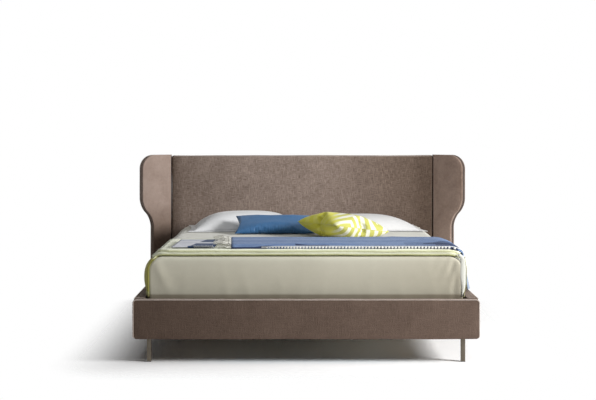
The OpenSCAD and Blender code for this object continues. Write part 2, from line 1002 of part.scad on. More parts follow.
// Closed cloth from a grid of points on its top and on its underside
module cloth(ni, nj, top, low) {
    count = ni * nj;
    points = concat(
        [for (i = [0:ni - 1], j = [0:nj - 1]) top(i, j)],
        [for (i = [0:ni - 1], j = [0:nj - 1]) low(i, j)]
    );
    at = function(i, j, layer) layer * count + i * nj + j;
    faces = concat(
        [for (i = [0:ni - 2], j = [0:nj - 2]) each [
            [at(i, j, 0), at(i, j + 1, 0), at(i + 1, j, 0)],
            [at(i + 1, j, 0), at(i, j + 1, 0), at(i + 1, j + 1, 0)],
            [at(i, j, 1), at(i + 1, j, 1), at(i, j + 1, 1)],
            [at(i + 1, j, 1), at(i + 1, j + 1, 1), at(i, j + 1, 1)]
        ]],
        [for (i = [0:ni - 2]) each [
            [at(i, 0, 0), at(i + 1, 0, 0), at(i, 0, 1)],
            [at(i + 1, 0, 0), at(i + 1, 0, 1), at(i, 0, 1)],
            [at(i, nj - 1, 0), at(i, nj - 1, 1), at(i + 1, nj - 1, 0)],
            [at(i + 1, nj - 1, 0), at(i, nj - 1, 1), at(i + 1, nj - 1, 1)]
        ]],
        [for (j = [0:nj - 2]) each [
            [at(0, j, 0), at(0, j, 1), at(0, j + 1, 0)],
            [at(0, j + 1, 0), at(0, j, 1), at(0, j + 1, 1)],
            [at(ni - 1, j, 0), at(ni - 1, j + 1, 0), at(ni - 1, j, 1)],
            [at(ni - 1, j + 1, 0), at(ni - 1, j + 1, 1), at(ni - 1, j, 1)]
        ]]
    );
    polyhedron(points, faces);
}

// A place on a draped cloth as a point of the bed
function drape_point(s, off, y) = let (p = drape(s, off)) [p[0], y, p[1]];

// Ways from the middle line at which the coverlet's rows lie: the flat, the shoulders, the drops
flat_rows = 2;
arc_rows = 9;
drop_rows = 6;
half_rows = concat(
    [for (i = [0:flat_rows - 1]) drape_flat * i / flat_rows],
    [for (i = [0:arc_rows - 1]) drape_flat + drape_arc * i / arc_rows],
    [for (i = [0:drop_rows]) drape_flat + drape_arc + coverlet_drop * i / drop_rows]
);
half_last = len(half_rows) - 1;
coverlet_rows = concat(
    [for (i = [0:half_last - 1]) -half_rows[half_last - i]],
    half_rows
);

// Soft waves of the hanging sides, none on the flat
wave_length = 560;
wave_height = 4;
function hang(s) = max(0, min(1, (abs(s) - drape_flat - drape_arc) / coverlet_drop));
function wave(s, y) = wave_height * hang(s) * (1 + sin(360 * y / wave_length));

coverlet_y0 = mattress_front_y - 1;
coverlet_y1 = mattress_front_y + mattress_l - 30;
coverlet_cols = 15;
function coverlet_y(j) = coverlet_y0 + (coverlet_y1 - coverlet_y0) * j / (coverlet_cols - 1);

// Cream coverlet over the made bed, hanging down both sides to the rails
module coverlet() {
    color("beige")
        cloth(
            len(coverlet_rows), coverlet_cols,
            function(i, j) drape_point(
                coverlet_rows[i], coverlet_top + wave(coverlet_rows[i], coverlet_y(j)), coverlet_y(j)),
            function(i, j) drape_point(
                coverlet_rows[i], coverlet_off + wave(coverlet_rows[i], coverlet_y(j)), coverlet_y(j))
        );
}

// Height of a puffy cloth over its length: round at both ends
function puff(d, l) = sqrt(max(0.04, 1 - pow(max(0, 1 - min(d, l - d) / fold_round), 2)));

// Rows of the turned-back part, dense where it bends over the shoulders
fold_rows = concat(
    [for (i = [0:2]) -fold_left + (fold_left - drape_flat) * i / 3],
    [for (i = [0:8]) drape_flat * (i / 4 - 1)],
    [for (i = [1:5]) drape_flat + (fold_right - drape_flat) * i / 5]
);
fold_last = len(fold_rows) - 1;
fold_cols = 13;
// Columns crowd at both ends, where the fold rounds off
function fold_y(j) = fold_front_y + fold_l * (1 - cos(180 * j / (fold_cols - 1))) / 2;
function fold_h(i, j) = fold_t * puff(fold_y(j) - fold_front_y, fold_l)
    * (i == 0 || i == fold_last ? 0.45 : 1);

// Front part of the coverlet, turned back double over itself
module coverlet_fold() {
    color("khaki")
        cloth(
            fold_last + 1, fold_cols,
            function(i, j) drape_point(fold_rows[i], fold_off + fold_h(i, j), fold_y(j)),
            function(i, j) drape_point(fold_rows[i], fold_off, fold_y(j))
        );
}

// The throw's rows run from its fringed end over the fold and down the right side
throw_rows = concat(
    [for (i = [0:5]) -throw_left + (drape_flat + throw_left) * i / 5],
    [for (i = [1:12]) drape_flat + drape_arc * i / 12],
    [for (i = [1:6]) drape_flat + drape_arc + throw_drop * i / 6]
);
throw_cols = 11;
throw_last = len(throw_rows) - 1;
// The cloth steps down from the fold to the coverlet just past the fold's end
throw_step = 40;
function throw_lift(s) = s <= fold_right ? throw_off
    : max(fold_off, throw_off - (throw_off - fold_off) * (s - fold_right) / throw_step);
// It narrows into gathers as it hangs, and its main folds deepen
fold_waves = 3;
fold_depth = 9;
gather = 0.25;
function throw_y(s, j) =
    let (t = j / (throw_cols - 1), mid = throw_front_y + throw_l / 2)
    mid + (t - 0.5) * throw_l * (1 - gather * hang(s));
function throw_wave(s, j) = 2 * wave_height * hang(s)
    + fold_depth * hang(s) * (1 - cos(360 * fold_waves * j / (throw_cols - 1))) / 2;

// Blue throw, laid across the bed and hanging down its right side in soft folds
module blue_throw() {
    color("slateblue")
        cloth(
            throw_last + 1, throw_cols,
            function(i, j) drape_point(
                throw_rows[i],
                throw_lift(throw_rows[i]) + throw_t + throw_wave(throw_rows[i], j),
                throw_y(throw_rows[i], j)),
            function(i, j) drape_point(
                throw_rows[i],
                throw_lift(throw_rows[i]) + throw_wave(throw_rows[i], j),
                throw_y(throw_rows[i], j))
        );
}

// End of a folded striped throw that lies beside the blue one
module striped_throw() {
    w = striped_w;
    color("midnightblue")
        translate([-(striped_left + striped_right) / 2, throw_front_y + striped_l / 2, sheet_top + throw_off])
            intersection() {
                linear_extrude(striped_t)
                    soft_rect(w, striped_l, 8);
                run_y(-striped_l, 2 * striped_l)
                    translate([0, striped_t / 2])
                        soft_rect(w, striped_t, striped_t / 2 - 0.5);
            }
}

// Crowned cushion: its sides draw in between its corners, its seam lies at the height seam_h,
// and it is flatter below, where it rests
cushion_cells = 12;
side_draw = 0.07;
function edge_grade(t) = sin(90 * t);
function crown(u, v, power) = pow(max(0, (1 - pow(abs(u), 2.6)) * (1 - pow(abs(v), 2.6))), power);
module cushion(w, d, h, seam_h) {
    n = cushion_cells;
    grade = [for (i = [0:n]) edge_grade(2 * i / n - 1)];
    px = function(u, v) w / 2 * u * (1 - side_draw * (1 - v * v));
    py = function(u, v) d / 2 * v * (1 - side_draw * (1 - u * u));
    ring = concat(
        [for (i = [0:n - 1]) [i, 0]],
        [for (i = [0:n - 1]) [n, i]],
        [for (i = [0:n - 1]) [n - i, n]],
        [for (i = [0:n - 1]) [0, n - i]]
    );
    inner = (n - 1) * (n - 1);
    point = function(i, j, z) [px(grade[i], grade[j]), py(grade[i], grade[j]), z];
    points = concat(
        [for (p = ring) point(p[0], p[1], seam_h)],
        [for (i = [1:n - 1], j = [1:n - 1])
            point(i, j, seam_h + (h - seam_h) * crown(grade[i], grade[j], 0.5))],
        [for (i = [1:n - 1], j = [1:n - 1])
            point(i, j, seam_h * (1 - crown(grade[i], grade[j], 0.35)))]
    );
    at = function(i, j, layer)
        j == 0 ? i
        : i == n ? n + j
        : j == n ? 3 * n - i
        : i == 0 ? 4 * n - j
        : 4 * n + layer * inner + (i - 1) * (n - 1) + j - 1;
    // Each cell is cut from its outer corner inwards, so no face lies flat on the seam
    outward = function(i, j) (i < n / 2) == (j < n / 2);
    faces = [for (i = [0:n - 1], j = [0:n - 1])
        let (a = [i, j], b = [i, j + 1], c = [i + 1, j], d = [i + 1, j + 1])
        for (f = outward(i, j) ? [[a, b, d], [a, d, c]] : [[a, b, c], [c, b, d]]) each [
            [for (p = f) at(p[0], p[1], 0)],
            [for (p = [f[2], f[1], f[0]]) at(p[0], p[1], 1)]
        ]
    ];
    polyhedron(points, faces);
}

// Pillow on the made bed
module pillow(side) {
    color("white")
        translate([side * pillow_x, pillow_y, bed_top + rest_gap])
            cushion(pillow_w, pillow_d, pillow_h, 0.28 * pillow_h);
}

module blue_cushion() {
    color("steelblue")
        translate([blue_x, blue_y, bed_top + rest_gap])
            cushion(blue_w, blue_d, blue_h, 0.4 * blue_h);
}

module lime_cushion() {
    color("yellowgreen")
        translate([lime_x, lime_y, bed_top + rest_gap])
            rotate([0, 0, 45 + lime_turn])
                cushion(lime_w, lime_w, lime_h, 0.5 * lime_h);
}

foot_rail_core();
foot_rail_cover();
side_rail_core(-1);  // side_rail_left_core
side_rail_cover(-1);  // side_rail_left_cover
side_rail_core(1);  // side_rail_right_core
side_rail_cover(1);  // side_rail_right_cover
corner_bracket(-1);  // corner_bracket_left
corner_bracket(1);  // corner_bracket_right
corner_bolts();
headboard_bracket(-1);  // headboard_bracket_left
headboard_bracket(1);  // headboard_bracket_right
headboard_bolts();
headboard_core();
headboard_cover();
wing_core(-1);  // wing_left_core
wing_front_facing(-1);  // wing_left_front_facing
wing_border(-1);  // wing_left_border
wing_back_facing(-1);  // wing_left_back_facing
wing_core(1);  // wing_right_core
wing_front_facing(1);  // wing_right_front_facing
wing_border(1);  // wing_right_border
wing_back_facing(1);  // wing_right_back_facing
wing_studs();
headboard_glides();
leg(-1);  // leg_left
leg(1);  // leg_right
leg_screws();
leg_glides();
base_brackets();
base_screws();
base_side_tube(-1);  // base_left_tube
base_side_tube(1);  // base_right_tube
base_center_tube();
base_end_tube(base_front_y + base_l - tube_w);  // base_head_tube
base_end_tube(base_front_y);  // base_foot_tube
tube_plugs();
slat_row(-1);  // slats_left
slat_row(1);  // slats_right
slat_holders(-1);  // slat_holders_left
slat_holders(1);  // slat_holders_right
slat_holders_center();
center_leg();
center_leg_foot();
mattress();
fitted_sheet();
coverlet();
coverlet_fold();
blue_throw();
striped_throw();
pillow(-1);  // pillow_left
pillow(1);  // pillow_right
blue_cushion();
lime_cushion();
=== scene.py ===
import math
import random

import bmesh
import bpy
from mathutils import Matrix, Vector, noise


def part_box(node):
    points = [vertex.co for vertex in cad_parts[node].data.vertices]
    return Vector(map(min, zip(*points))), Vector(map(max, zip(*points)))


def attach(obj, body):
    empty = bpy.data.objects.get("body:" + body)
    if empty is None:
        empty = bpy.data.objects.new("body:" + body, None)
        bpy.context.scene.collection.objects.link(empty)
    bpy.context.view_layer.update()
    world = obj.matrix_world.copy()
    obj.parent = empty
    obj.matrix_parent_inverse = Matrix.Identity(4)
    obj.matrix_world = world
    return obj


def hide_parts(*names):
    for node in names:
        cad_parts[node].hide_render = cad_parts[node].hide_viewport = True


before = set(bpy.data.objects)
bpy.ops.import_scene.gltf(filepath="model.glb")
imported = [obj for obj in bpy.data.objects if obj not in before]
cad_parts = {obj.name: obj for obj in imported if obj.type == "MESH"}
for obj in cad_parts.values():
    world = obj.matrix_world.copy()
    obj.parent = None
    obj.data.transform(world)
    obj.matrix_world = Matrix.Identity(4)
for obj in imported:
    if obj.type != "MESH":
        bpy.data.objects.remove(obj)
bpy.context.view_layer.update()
scene = bpy.context.scene
scene.view_settings.view_transform = "Standard"
random.seed(7)


# Camera
# A long lens at eye height, straight on to the foot of the bed. The shift only
# puts the horizon and the middle line where the photograph has them.
def placed(name, data):
    """A new object in the scene"""
    made = bpy.data.objects.new(name, data)
    scene.collection.objects.link(made)
    return made


photo_width = 596
lens = bpy.data.cameras.new("photo_camera")
lens.lens = 74.36
lens.sensor_width = 36
lens.shift_x = 7.6 / photo_width
lens.shift_y = -69 / photo_width
camera = placed("photo_camera", lens)
camera.location = (-0.0796, -7.304, 1.175)
camera.rotation_euler = (math.radians(90), 0, 0)
scene.camera = camera


# Studio
# A pale floor under a white surround, a soft lamp from the right front and a
# larger, weaker one above the foot of the bed.
def link(tree, value, socket):
    if isinstance(value, bpy.types.NodeSocket):
        tree.links.new(value, socket)
    else:
        socket.default_value = value


def add_node(tree, kind, inputs=None, **settings):
    made = tree.nodes.new("ShaderNode" + kind)
    for name, value in settings.items():
        setattr(made, name, value)
    for name, value in (inputs or {}).items():
        link(tree, value, made.inputs[name])
    return made


def math_node(tree, operation, a, b=0.0, c=0.0):
    return add_node(tree, "Math", {0: a, 1: b, 2: c}, operation=operation).outputs[0]


def plus(tree, a, b):
    return math_node(tree, "ADD", a, b)


def times(tree, a, b):
    return math_node(tree, "MULTIPLY", a, b)


def vector_node(tree, operation, a, b=(0, 0, 0)):
    made = add_node(tree, "VectorMath", {0: a, 1: b}, operation=operation)
    return made.outputs["Value" if operation == "LENGTH" else "Vector"]


def place_in(tree, kind="Object"):
    return add_node(tree, "TexCoord").outputs[kind]


def axes_of(tree, at):
    return add_node(tree, "SeparateXYZ", {0: at}).outputs


def cloud(tree, at, scale, detail=2.0, **more):
    """Noise from 0 to 1"""
    inputs = {"Vector": at, "Scale": scale, "Detail": detail, **more}
    return add_node(tree, "TexNoise", inputs).outputs["Fac"]


def remap(tree, value, low=0.0, high=1.0, to_low=0.0, to_high=1.0, **settings):
    """Brings a range of values to another range, and clamps it there"""
    inputs = {"Value": value, "From Min": low, "From Max": high, "To Min": to_low, "To Max": to_high}
    return add_node(tree, "MapRange", inputs, **settings).outputs[0]


def mix_colour(tree, share, a, b, blend="MIX"):
    """Mixes two colours, each a socket or three numbers"""
    a, b = [(*colour, 1) if isinstance(colour, tuple) else colour for colour in (a, b)]
    made = add_node(tree, "Mix", {"Factor": share, 6: a, 7: b}, data_type="RGBA", blend_type=blend)
    return made.outputs[2]


def empty_material(name):
    material = bpy.data.materials.new(name)
    material.use_nodes = True
    material.node_tree.nodes.clear()
    return material


def mesh_data(name, shape):
    """Mesh data from a bmesh, which is freed"""
    data = bpy.data.meshes.new(name)
    shape.to_mesh(data)
    shape.free()
    return data


surround = bpy.data.worlds.new("white_surround")
surround.use_nodes = True
surround.node_tree.nodes.clear()
tree = surround.node_tree
paths = add_node(tree, "LightPath").outputs
shown = math_node(tree, "MAXIMUM", paths["Is Camera Ray"], paths["Is Glossy Ray"])
shown = math_node(tree, "MAXIMUM", shown, paths["Is Transmission Ray"])
sky = add_node(tree, "Background", {"Color": (1, 1, 1, 1), "Strength": remap(tree, shown, to_low=0.10)})
add_node(tree, "OutputWorld", {"Surface": sky.outputs[0]})
scene.world = surround

for name, place, aim, width, power in (
    ("key_lamp", (4.7, -2.7, 2.4), (-0.3, 0.3, 0.6), 1.4, 460),
    ("overhead_lamp", (-0.2, -1.3, 3.8), (0.0, -0.1, 0.4), 3.0, 40),
):
    lamp = bpy.data.lights.new(name, "AREA")
    lamp.size = width
    lamp.energy = power
    holder = placed(name, lamp)
    holder.location = place
    holder.rotation_euler = (Vector(aim) - Vector(place)).to_track_quat("-Z", "Y").to_euler()

floor_mesh = bmesh.new()
bmesh.ops.create_grid(floor_mesh, x_segments=4, y_segments=4, size=40)
floor = placed("studio_floor", mesh_data("studio_floor", floor_mesh))
paint = empty_material("pale_floor")
floor.data.materials.append(paint)
tree = paint.node_tree
at = place_in(tree)
tone = remap(tree, cloud(tree, at, 1.5, 3), to_low=0.96)
# The floor keeps the shadow near the bed and fades to the surround further away
bed_half = (0.875, 1.1, 0.0)
fade_width = 0.44
sides = vector_node(tree, "ABSOLUTE", at)
apart = vector_node(tree, "MAXIMUM", vector_node(tree, "SUBTRACT", sides, bed_half))
away = vector_node(tree, "LENGTH", apart)
fade = remap(tree, away, 0.0, fade_width, interpolation_type="SMOOTHSTEP")
# Under the bed a faint cool tint takes away the brown that the covers throw on the floor
cool, white = (0.88, 0.95, 1.0), (1, 1, 1)
across, along, _ = axes_of(tree, sides)
tint = mix_colour(tree, remap(tree, across, 0.35, 0.70), cool, white)
tint = mix_colour(tree, remap(tree, along, 0.98, 1.12), tint, white)
matt = add_node(tree, "BsdfDiffuse", {"Color": vector_node(tree, "MULTIPLY", tint, tone)})
seen = add_node(tree, "LightPath").outputs["Is Camera Ray"]
clear = add_node(tree, "BsdfTransparent")
blend = add_node(tree, "MixShader", {0: times(tree, fade, seen), 1: matt.outputs[0], 2: clear.outputs[0]})
add_node(tree, "OutputMaterial", {"Surface": blend.outputs[0]})


# Upholstery fabric
# Rails, panel and wings are covered in taupe pile fabric over foam. The nap lies
# in cloudy patches. Lighter and darker copies of the fabric, and darkening along
# the pieces, are painted light and painted shade.
def make_group(name, inputs, outputs):
    """A node group that reads a Vector and more inputs, given as names and defaults"""
    group = bpy.data.node_groups.new(name, "ShaderNodeTree")
    group.interface.new_socket(name="Vector", in_out="INPUT", socket_type="NodeSocketVector")
    for label, value in inputs.items():
        kind = "NodeSocketVector" if isinstance(value, tuple) else "NodeSocketFloat"
        group.interface.new_socket(name=label, in_out="INPUT", socket_type=kind).default_value = value
    for label in outputs:
        group.interface.new_socket(name=label, in_out="OUTPUT", socket_type="NodeSocketFloat")
    return group, group.nodes.new("NodeGroupInput").outputs, group.nodes.new("NodeGroupOutput").inputs


def place_group(tree, group, at, inputs=None):
    made = tree.nodes.new("ShaderNodeGroup")
    made.node_tree = group
    for name, value in {"Vector": at, **(inputs or {})}.items():
        link(tree, value, made.inputs[name])
    return made.outputs


# Threads that cross, as a height of 0 to 1, uneven as real yarn is
threads_group, given, result = make_group("woven_threads", {"Pitch": 700.0, "Unevenness": 0.3},
                                          ["Height", "Yarn"])
tree = threads_group
blur = plus(tree, cloud(tree, given["Vector"], 60.0), -0.5)
sway = times(tree, blur, times(tree, given["Unevenness"], 9.0))
waves = [
    math_node(tree, "SINE", plus(tree, times(tree, axis, given["Pitch"]), sway))
    for axis in axes_of(tree, given["Vector"])
]
first = times(tree, waves[0], waves[1])
second = times(tree, waves[1], waves[2])
third = times(tree, waves[2], waves[0])
crossed = plus(tree, plus(tree, first, second), third)
link(tree, remap(tree, crossed, -1.2, 1.6), result["Height"])
link(tree, cloud(tree, given["Vector"], 240.0, 3.0), result["Yarn"])

# Cloudy patches where the nap was brushed this way or that
nap_group, given, result = make_group("brushed_nap", {"Patch Scale": 9.0, "Contrast": 1.0}, ["Nap"])
tree = nap_group
broad = cloud(tree, given["Vector"], given["Patch Scale"], 4.0, Roughness=0.62, Distortion=0.7)
small = cloud(tree, given["Vector"], times(tree, given["Patch Scale"], 7.0), 3.0, Roughness=0.7)
both = plus(tree, times(tree, broad, 0.68), times(tree, small, 0.32))
pushed = times(tree, plus(tree, both, -0.5), times(tree, given["Contrast"], 3.2))
level = add_node(tree, "Clamp", {"Value": plus(tree, pushed, 0.5)})
link(tree, level.outputs[0], result["Nap"])

# Thick uneven yarns that lie in both directions of the weave
slub_group, given, result = make_group("slub_yarns", {"Scale": 1.0}, ["Slubs"])
tree = slub_group
runs = []
for stretch in ((1.0, 1.0, 8.0), (8.0, 8.0, 1.0)):
    turned = add_node(tree, "Mapping", {"Vector": given["Vector"], "Scale": stretch}).outputs[0]
    runs.append(cloud(tree, turned, times(tree, given["Scale"], 27.0), 2.5, Roughness=0.65))
link(tree, remap(tree, math_node(tree, "MAXIMUM", *runs), 0.42, 0.72), result["Slubs"])


def painted_shade_tone(tree, axis, steps):
    """Painted shade and light along an axis, from pairs of a place in metres and a tone; the darker tones are
    warmer
    """
    low, high = steps[0][0], steps[-1][0]
    share = remap(tree, axes_of(tree, place_in(tree))[axis], low, high)
    ramp = add_node(tree, "ValToRGB", {"Fac": share})
    points = ramp.color_ramp.elements
    while len(points) < len(steps):
        points.new(0.5)
    for point, (where, tone) in zip(points, steps):
        point.position = (where - low) / (high - low)
        point.color = (tone, tone ** 1.12, tone ** 1.25, 1)
    return ramp.outputs[0]


def bump_node(tree, height, distance, strength, below=None):
    inputs = {"Height": height, "Distance": distance, "Strength": strength}
    if below is not None:
        inputs["Normal"] = below
    return add_node(tree, "Bump", inputs).outputs[0]


def close_material(material, inputs):
    """Ends a material with its shader"""
    shader = add_node(material.node_tree, "BsdfPrincipled", inputs)
    add_node(material.node_tree, "OutputMaterial", {"Surface": shader.outputs[0]})
    return material


def cloth_material(name, dark, light, coords="Object", patch=9.0, contrast=1.0, slubs=0.0, pitch=2600.0,
                   bump=0.0006, roughness=0.85, sheen=0.3, sheen_tint=(1, 1, 1, 1), soft=0.0, painted_shade=()):
    """Cloth between two colours: nap patches, threads, and slubs where asked, and painted shade along axes
    where asked
    """
    material = empty_material(name)
    tree = material.node_tree
    at = place_in(tree, coords)
    share = place_group(tree, nap_group, at, {"Patch Scale": patch, "Contrast": contrast})["Nap"]
    threads = place_group(tree, threads_group, at, {"Pitch": pitch})
    if slubs:
        lumps = place_group(tree, slub_group, at)["Slubs"]
        share = add_node(tree, "Mix", {"Factor": slubs, 2: share, 3: lumps}).outputs[0]
    yarn = times(tree, plus(tree, threads["Yarn"], -0.5), 0.5)
    share = add_node(tree, "Clamp", {"Value": plus(tree, share, yarn)}).outputs[0]
    colour = mix_colour(tree, share, dark, light)
    # Painted shade: the colour is multiplied by tones along the given axes
    for axis, steps in painted_shade:
        colour = mix_colour(tree, 1.0, colour, painted_shade_tone(tree, axis, steps), "MULTIPLY")
    surface = bump_node(tree, threads["Height"], bump, 0.6)
    if slubs:
        surface = bump_node(tree, lumps, bump * 2.5, 0.5, surface)
    if soft:
        surface = bump_node(tree, cloud(tree, at, 7.0), soft, 0.8, surface)
    rough = remap(tree, share, to_low=roughness + 0.06, to_high=roughness - 0.06)
    return close_material(material, {
        "Base Color": colour, "Roughness": rough, "Normal": surface, "Sheen Weight": sheen,
        "Sheen Roughness": 0.35, "Sheen Tint": sheen_tint, "Specular IOR Level": 0.25,
    })


taupe_sheen = (1.0, 0.93, 0.88, 1)
velvet = {"patch": 8, "roughness": 0.8, "sheen_tint": taupe_sheen}
# The left wing's velvet is painted lighter, as painted light on the side that faces the lamp, and darkens
# towards its foot in painted shade. The right wing's is a darker copy, as painted shade, and darkens towards
# its outer edge and its top.
wing_velvets_painted_light = {
    -1: cloth_material("taupe_velvet_left_painted_light", (0.270, 0.200, 0.165), (0.390, 0.305, 0.262), contrast=0.7,
                       sheen=0.2, soft=0.004, painted_shade=[("Z", [(0.44, 0.30), (0.56, 0.56), (0.70, 0.93)])],
                       **velvet),
    1: cloth_material("taupe_velvet_right_painted_shade", (0.192, 0.132, 0.104), (0.314, 0.235, 0.194), contrast=0.8,
                      sheen=0.2, soft=0.004,
                      painted_shade=[("X", [(0.90, 0.94), (1.02, 1.03), (1.045, 0.98), (1.065, 0.80)]),
                           ("Z", [(0.45, 1.0), (0.80, 0.86)])], **velvet),
}
# The right wing's border band and piping are in this darker velvet, as painted shade; the left wing's border
# is in its lighter velvet.
border_velvet_painted_shade = cloth_material("taupe_velvet_border_painted_shade", (0.046, 0.032, 0.026), (0.078, 0.058, 0.047),
                               contrast=0.7, sheen=0.05, **velvet)
# The rails' velvet is a darker copy of the wings', as painted shade on the low front, and darkens further
# towards the left in painted shade.
rail_velvet_painted_shade = cloth_material("taupe_velvet_rails_painted_shade", (0.080, 0.052, 0.038), (0.150, 0.102, 0.078), contrast=0.5,
                             slubs=0.3, sheen=0.15, soft=0.003,
                             painted_shade=[("X", [(-0.86, 0.68), (-0.1, 0.92), (0.6, 0.98)])], **velvet)
# The panel's chenille darkens towards both ends in painted shade, most at the right end beside the wing, and
# is a little lighter left of the middle.
chenille = cloth_material("taupe_chenille", (0.110, 0.077, 0.060), (0.370, 0.294, 0.250), patch=7,
                          contrast=0.6, slubs=0.68, roughness=0.9, sheen=0.05, sheen_tint=(1.0, 0.94, 0.9, 1),
                          soft=0.002, painted_shade=[("X", [(-0.885, 0.45), (-0.80, 0.86), (-0.35, 1.05), (0.15, 1.0),
                                                  (0.55, 0.62), (0.72, 0.48), (0.80, 0.34), (0.862, 0.30),
                                                  (0.885, 0.22)])])
# The piping is painted much lighter than the fabric round it, as a painted highlight along the edges it runs
# on.
welt_cloth_painted_highlight = cloth_material("taupe_welt_painted_highlight", (0.30, 0.245, 0.21), (0.44, 0.37, 0.33), patch=20, roughness=0.8,
                            sheen=0.5, sheen_tint=taupe_sheen)


# Boards in the rails, the panel and the wings
# Particle board, cut square and hidden by the covers.
wood_group, given, result = make_group("wood_grain", {"Stretch": (1.0, 1.0, 1.0), "Ring Scale": 12.0},
                                       ["Grain", "Pores"])
tree = wood_group
along = add_node(tree, "Mapping", {"Vector": given["Vector"], "Scale": given["Stretch"]}).outputs[0]
rings = add_node(tree, "TexWave",
                 {"Vector": along, "Scale": given["Ring Scale"], "Distortion": 5.0, "Detail": 3.0})
grain = plus(tree, times(tree, rings.outputs["Fac"], 0.6), times(tree, cloud(tree, along, 3.0, 3.0), 0.4))
link(tree, grain, result["Grain"])
link(tree, cloud(tree, along, 90.0), result["Pores"])


def wood_material(name, dark, light, stretch, rings, roughness, coat):
    material = empty_material(name)
    tree = material.node_tree
    wood = place_group(tree, wood_group, place_in(tree), {"Stretch": stretch, "Ring Scale": rings})
    return close_material(material, {
        "Base Color": mix_colour(tree, wood["Grain"], dark, light),
        "Roughness": remap(tree, wood["Pores"], to_low=roughness - 0.1, to_high=roughness + 0.1),
        "Normal": bump_node(tree, wood["Pores"], 0.0004, 0.4), "Coat Weight": coat, "Coat Roughness": 0.2,
    })


def dress(nodes, material):
    """Gives CAD nodes that show as they are a material and a slot"""
    for name in nodes.split():
        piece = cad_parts[name]
        piece.data.materials.clear()
        piece.data.materials.append(material)


chip_board = wood_material("particle_board", (0.42, 0.30, 0.18), (0.62, 0.48, 0.32), (30, 30, 30), 2, 0.8, 0)
dress("foot_rail_core side_rail_left_core side_rail_right_core headboard_core wing_left_core wing_right_core",
      chip_board)


# Foot rail and side rails
# Foam-padded boards in a sewn cover. A welt runs over the front face of the foot
# rail and along the outer top edge of each side rail, with stitches beside it.
rail_low, rail_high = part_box("foot_rail_cover")
rail_bottom, rail_top = 0.125, 0.325
frame_half = 0.875
edge_round, end_round, back_round = 0.006, 0.018, 0.012
welt_radius = 0.0030
welt_inset = 0.0018
seam_inset = 0.0165
seam_level = 0.3256


def box_mesh(low, high):
    shape = bmesh.new()
    bmesh.ops.create_cube(shape, size=1)
    size = Vector(high) - Vector(low)
    bmesh.ops.scale(shape, vec=size, verts=shape.verts)
    bmesh.ops.translate(shape, vec=Vector(low) + size / 2, verts=shape.verts)
    return shape


def round_edges(shape, pick, radius, segments=5):
    """Rounds the edges for which pick(middle, direction) holds"""
    chosen = []
    for edge in shape.edges:
        a, b = edge.verts[0].co, edge.verts[1].co
        if pick((a + b) / 2, (b - a).normalized()):
            chosen.append(edge)
    bmesh.ops.bevel(shape, geom=chosen, offset=radius, offset_type="OFFSET", segments=segments, profile=0.5,
                    affect="EDGES", material=-1)


def even(low, high, count):
    """Evenly spaced numbers from low to high, both included"""
    return [low + (high - low) * i / count for i in range(count + 1)]


def steps_between(low, high, step):
    return even(low, high, max(1, round((high - low) / step)))


def cut_plane(shape, spot, normal, dist=1e-5, clear_inner=False):
    geom = shape.verts[:] + shape.edges[:] + shape.faces[:]
    return bmesh.ops.bisect_plane(shape, geom=geom, dist=dist, plane_co=spot, plane_no=normal,
                                  clear_inner=clear_inner)


def slice_along(shape, axis, low, high, step):
    """Cuts the faces across an axis, so that they can take a soft form"""
    normal = Vector([1.0 if i == axis else 0.0 for i in range(3)])
    for place in steps_between(low, high, step)[1:-1]:
        cut_plane(shape, normal * place, normal)


def soften(shape, depth, scale, seed=0.0):
    """Moves each vertex a little along its normal, as foam lies uneven under a cover"""
    shape.normal_update()
    for vertex in shape.verts:
        vertex.co += vertex.normal * depth * noise.noise(vertex.co * scale + Vector((seed, seed, seed)))


def finish_piece(name, shape, material, body, replaces=(), sharp=0):
    data = mesh_data(name, shape)
    data.shade_smooth()
    if sharp:
        data.set_sharp_from_angle(angle=math.radians(sharp))
    data.materials.append(material)
    piece = placed(name, data)
    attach(piece, body)
    if replaces:
        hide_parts(*replaces)
    return piece


def take_in(shape, data):
    """Adds mesh data to a bmesh and removes it"""
    shape.from_mesh(data)
    bpy.data.meshes.remove(data)


def evaluated_mesh(piece):
    return bpy.data.meshes.new_from_object(piece.evaluated_get(bpy.context.evaluated_depsgraph_get()))


def tube_mesh(points, radius, closed=False, taper=None, resolution=2):
    """Round tube along a line of points, as mesh data"""
    line = bpy.data.curves.new("line", "CURVE")
    line.dimensions = "3D"
    line.bevel_depth = radius
    line.bevel_resolution = resolution
    line.use_fill_caps = True
    run = line.splines.new("POLY")
    run.points.add(len(points) - 1)
    for i, (place, spot) in enumerate(zip(points, run.points)):
        spot.co = (*place, 1)
        spot.radius = taper(i / (len(points) - 1)) if taper else 1
    run.use_cyclic_u = closed
    holder = placed("line", line)
    data = evaluated_mesh(holder)
    bpy.data.objects.remove(holder)
    bpy.data.curves.remove(line)
    return data


def welt(name, runs, radius, material, body, closed=False, resolution=2):
    """One piece of piping, from one or more lines of points"""
    shape = bmesh.new()
    for points in runs:
        take_in(shape, tube_mesh(points, radius, closed, resolution=resolution))
    return finish_piece(name, shape, material, body)


def spaced(points, step):
    """Places and directions at equal steps along a line of points"""
    line = [Vector(p) for p in points]
    found, left = [], step / 2
    for a, b in zip(line, line[1:]):
        length = (b - a).length
        at = left
        while at <= length:
            found.append((a.lerp(b, at / length), (b - a) / length))
            at += step
        left = at - length
    return found


def stitches(name, runs):
    """A row of stitches along each line, every one a small oval of thread"""
    step, length, thick = 0.0085, 0.0055, 0.0007
    size = Matrix.Diagonal((length / 2, thick, thick, 1))
    shape = bmesh.new()
    for points in runs:
        for place, direction in spaced(points, step):
            turn = direction.to_track_quat("X", "Z").to_matrix().to_4x4()
            spot = Matrix.Translation(place) @ turn @ size
            bmesh.ops.create_icosphere(shape, subdivisions=1, radius=1, matrix=spot)
    return finish_piece(name, shape, thread, "bed_frame")


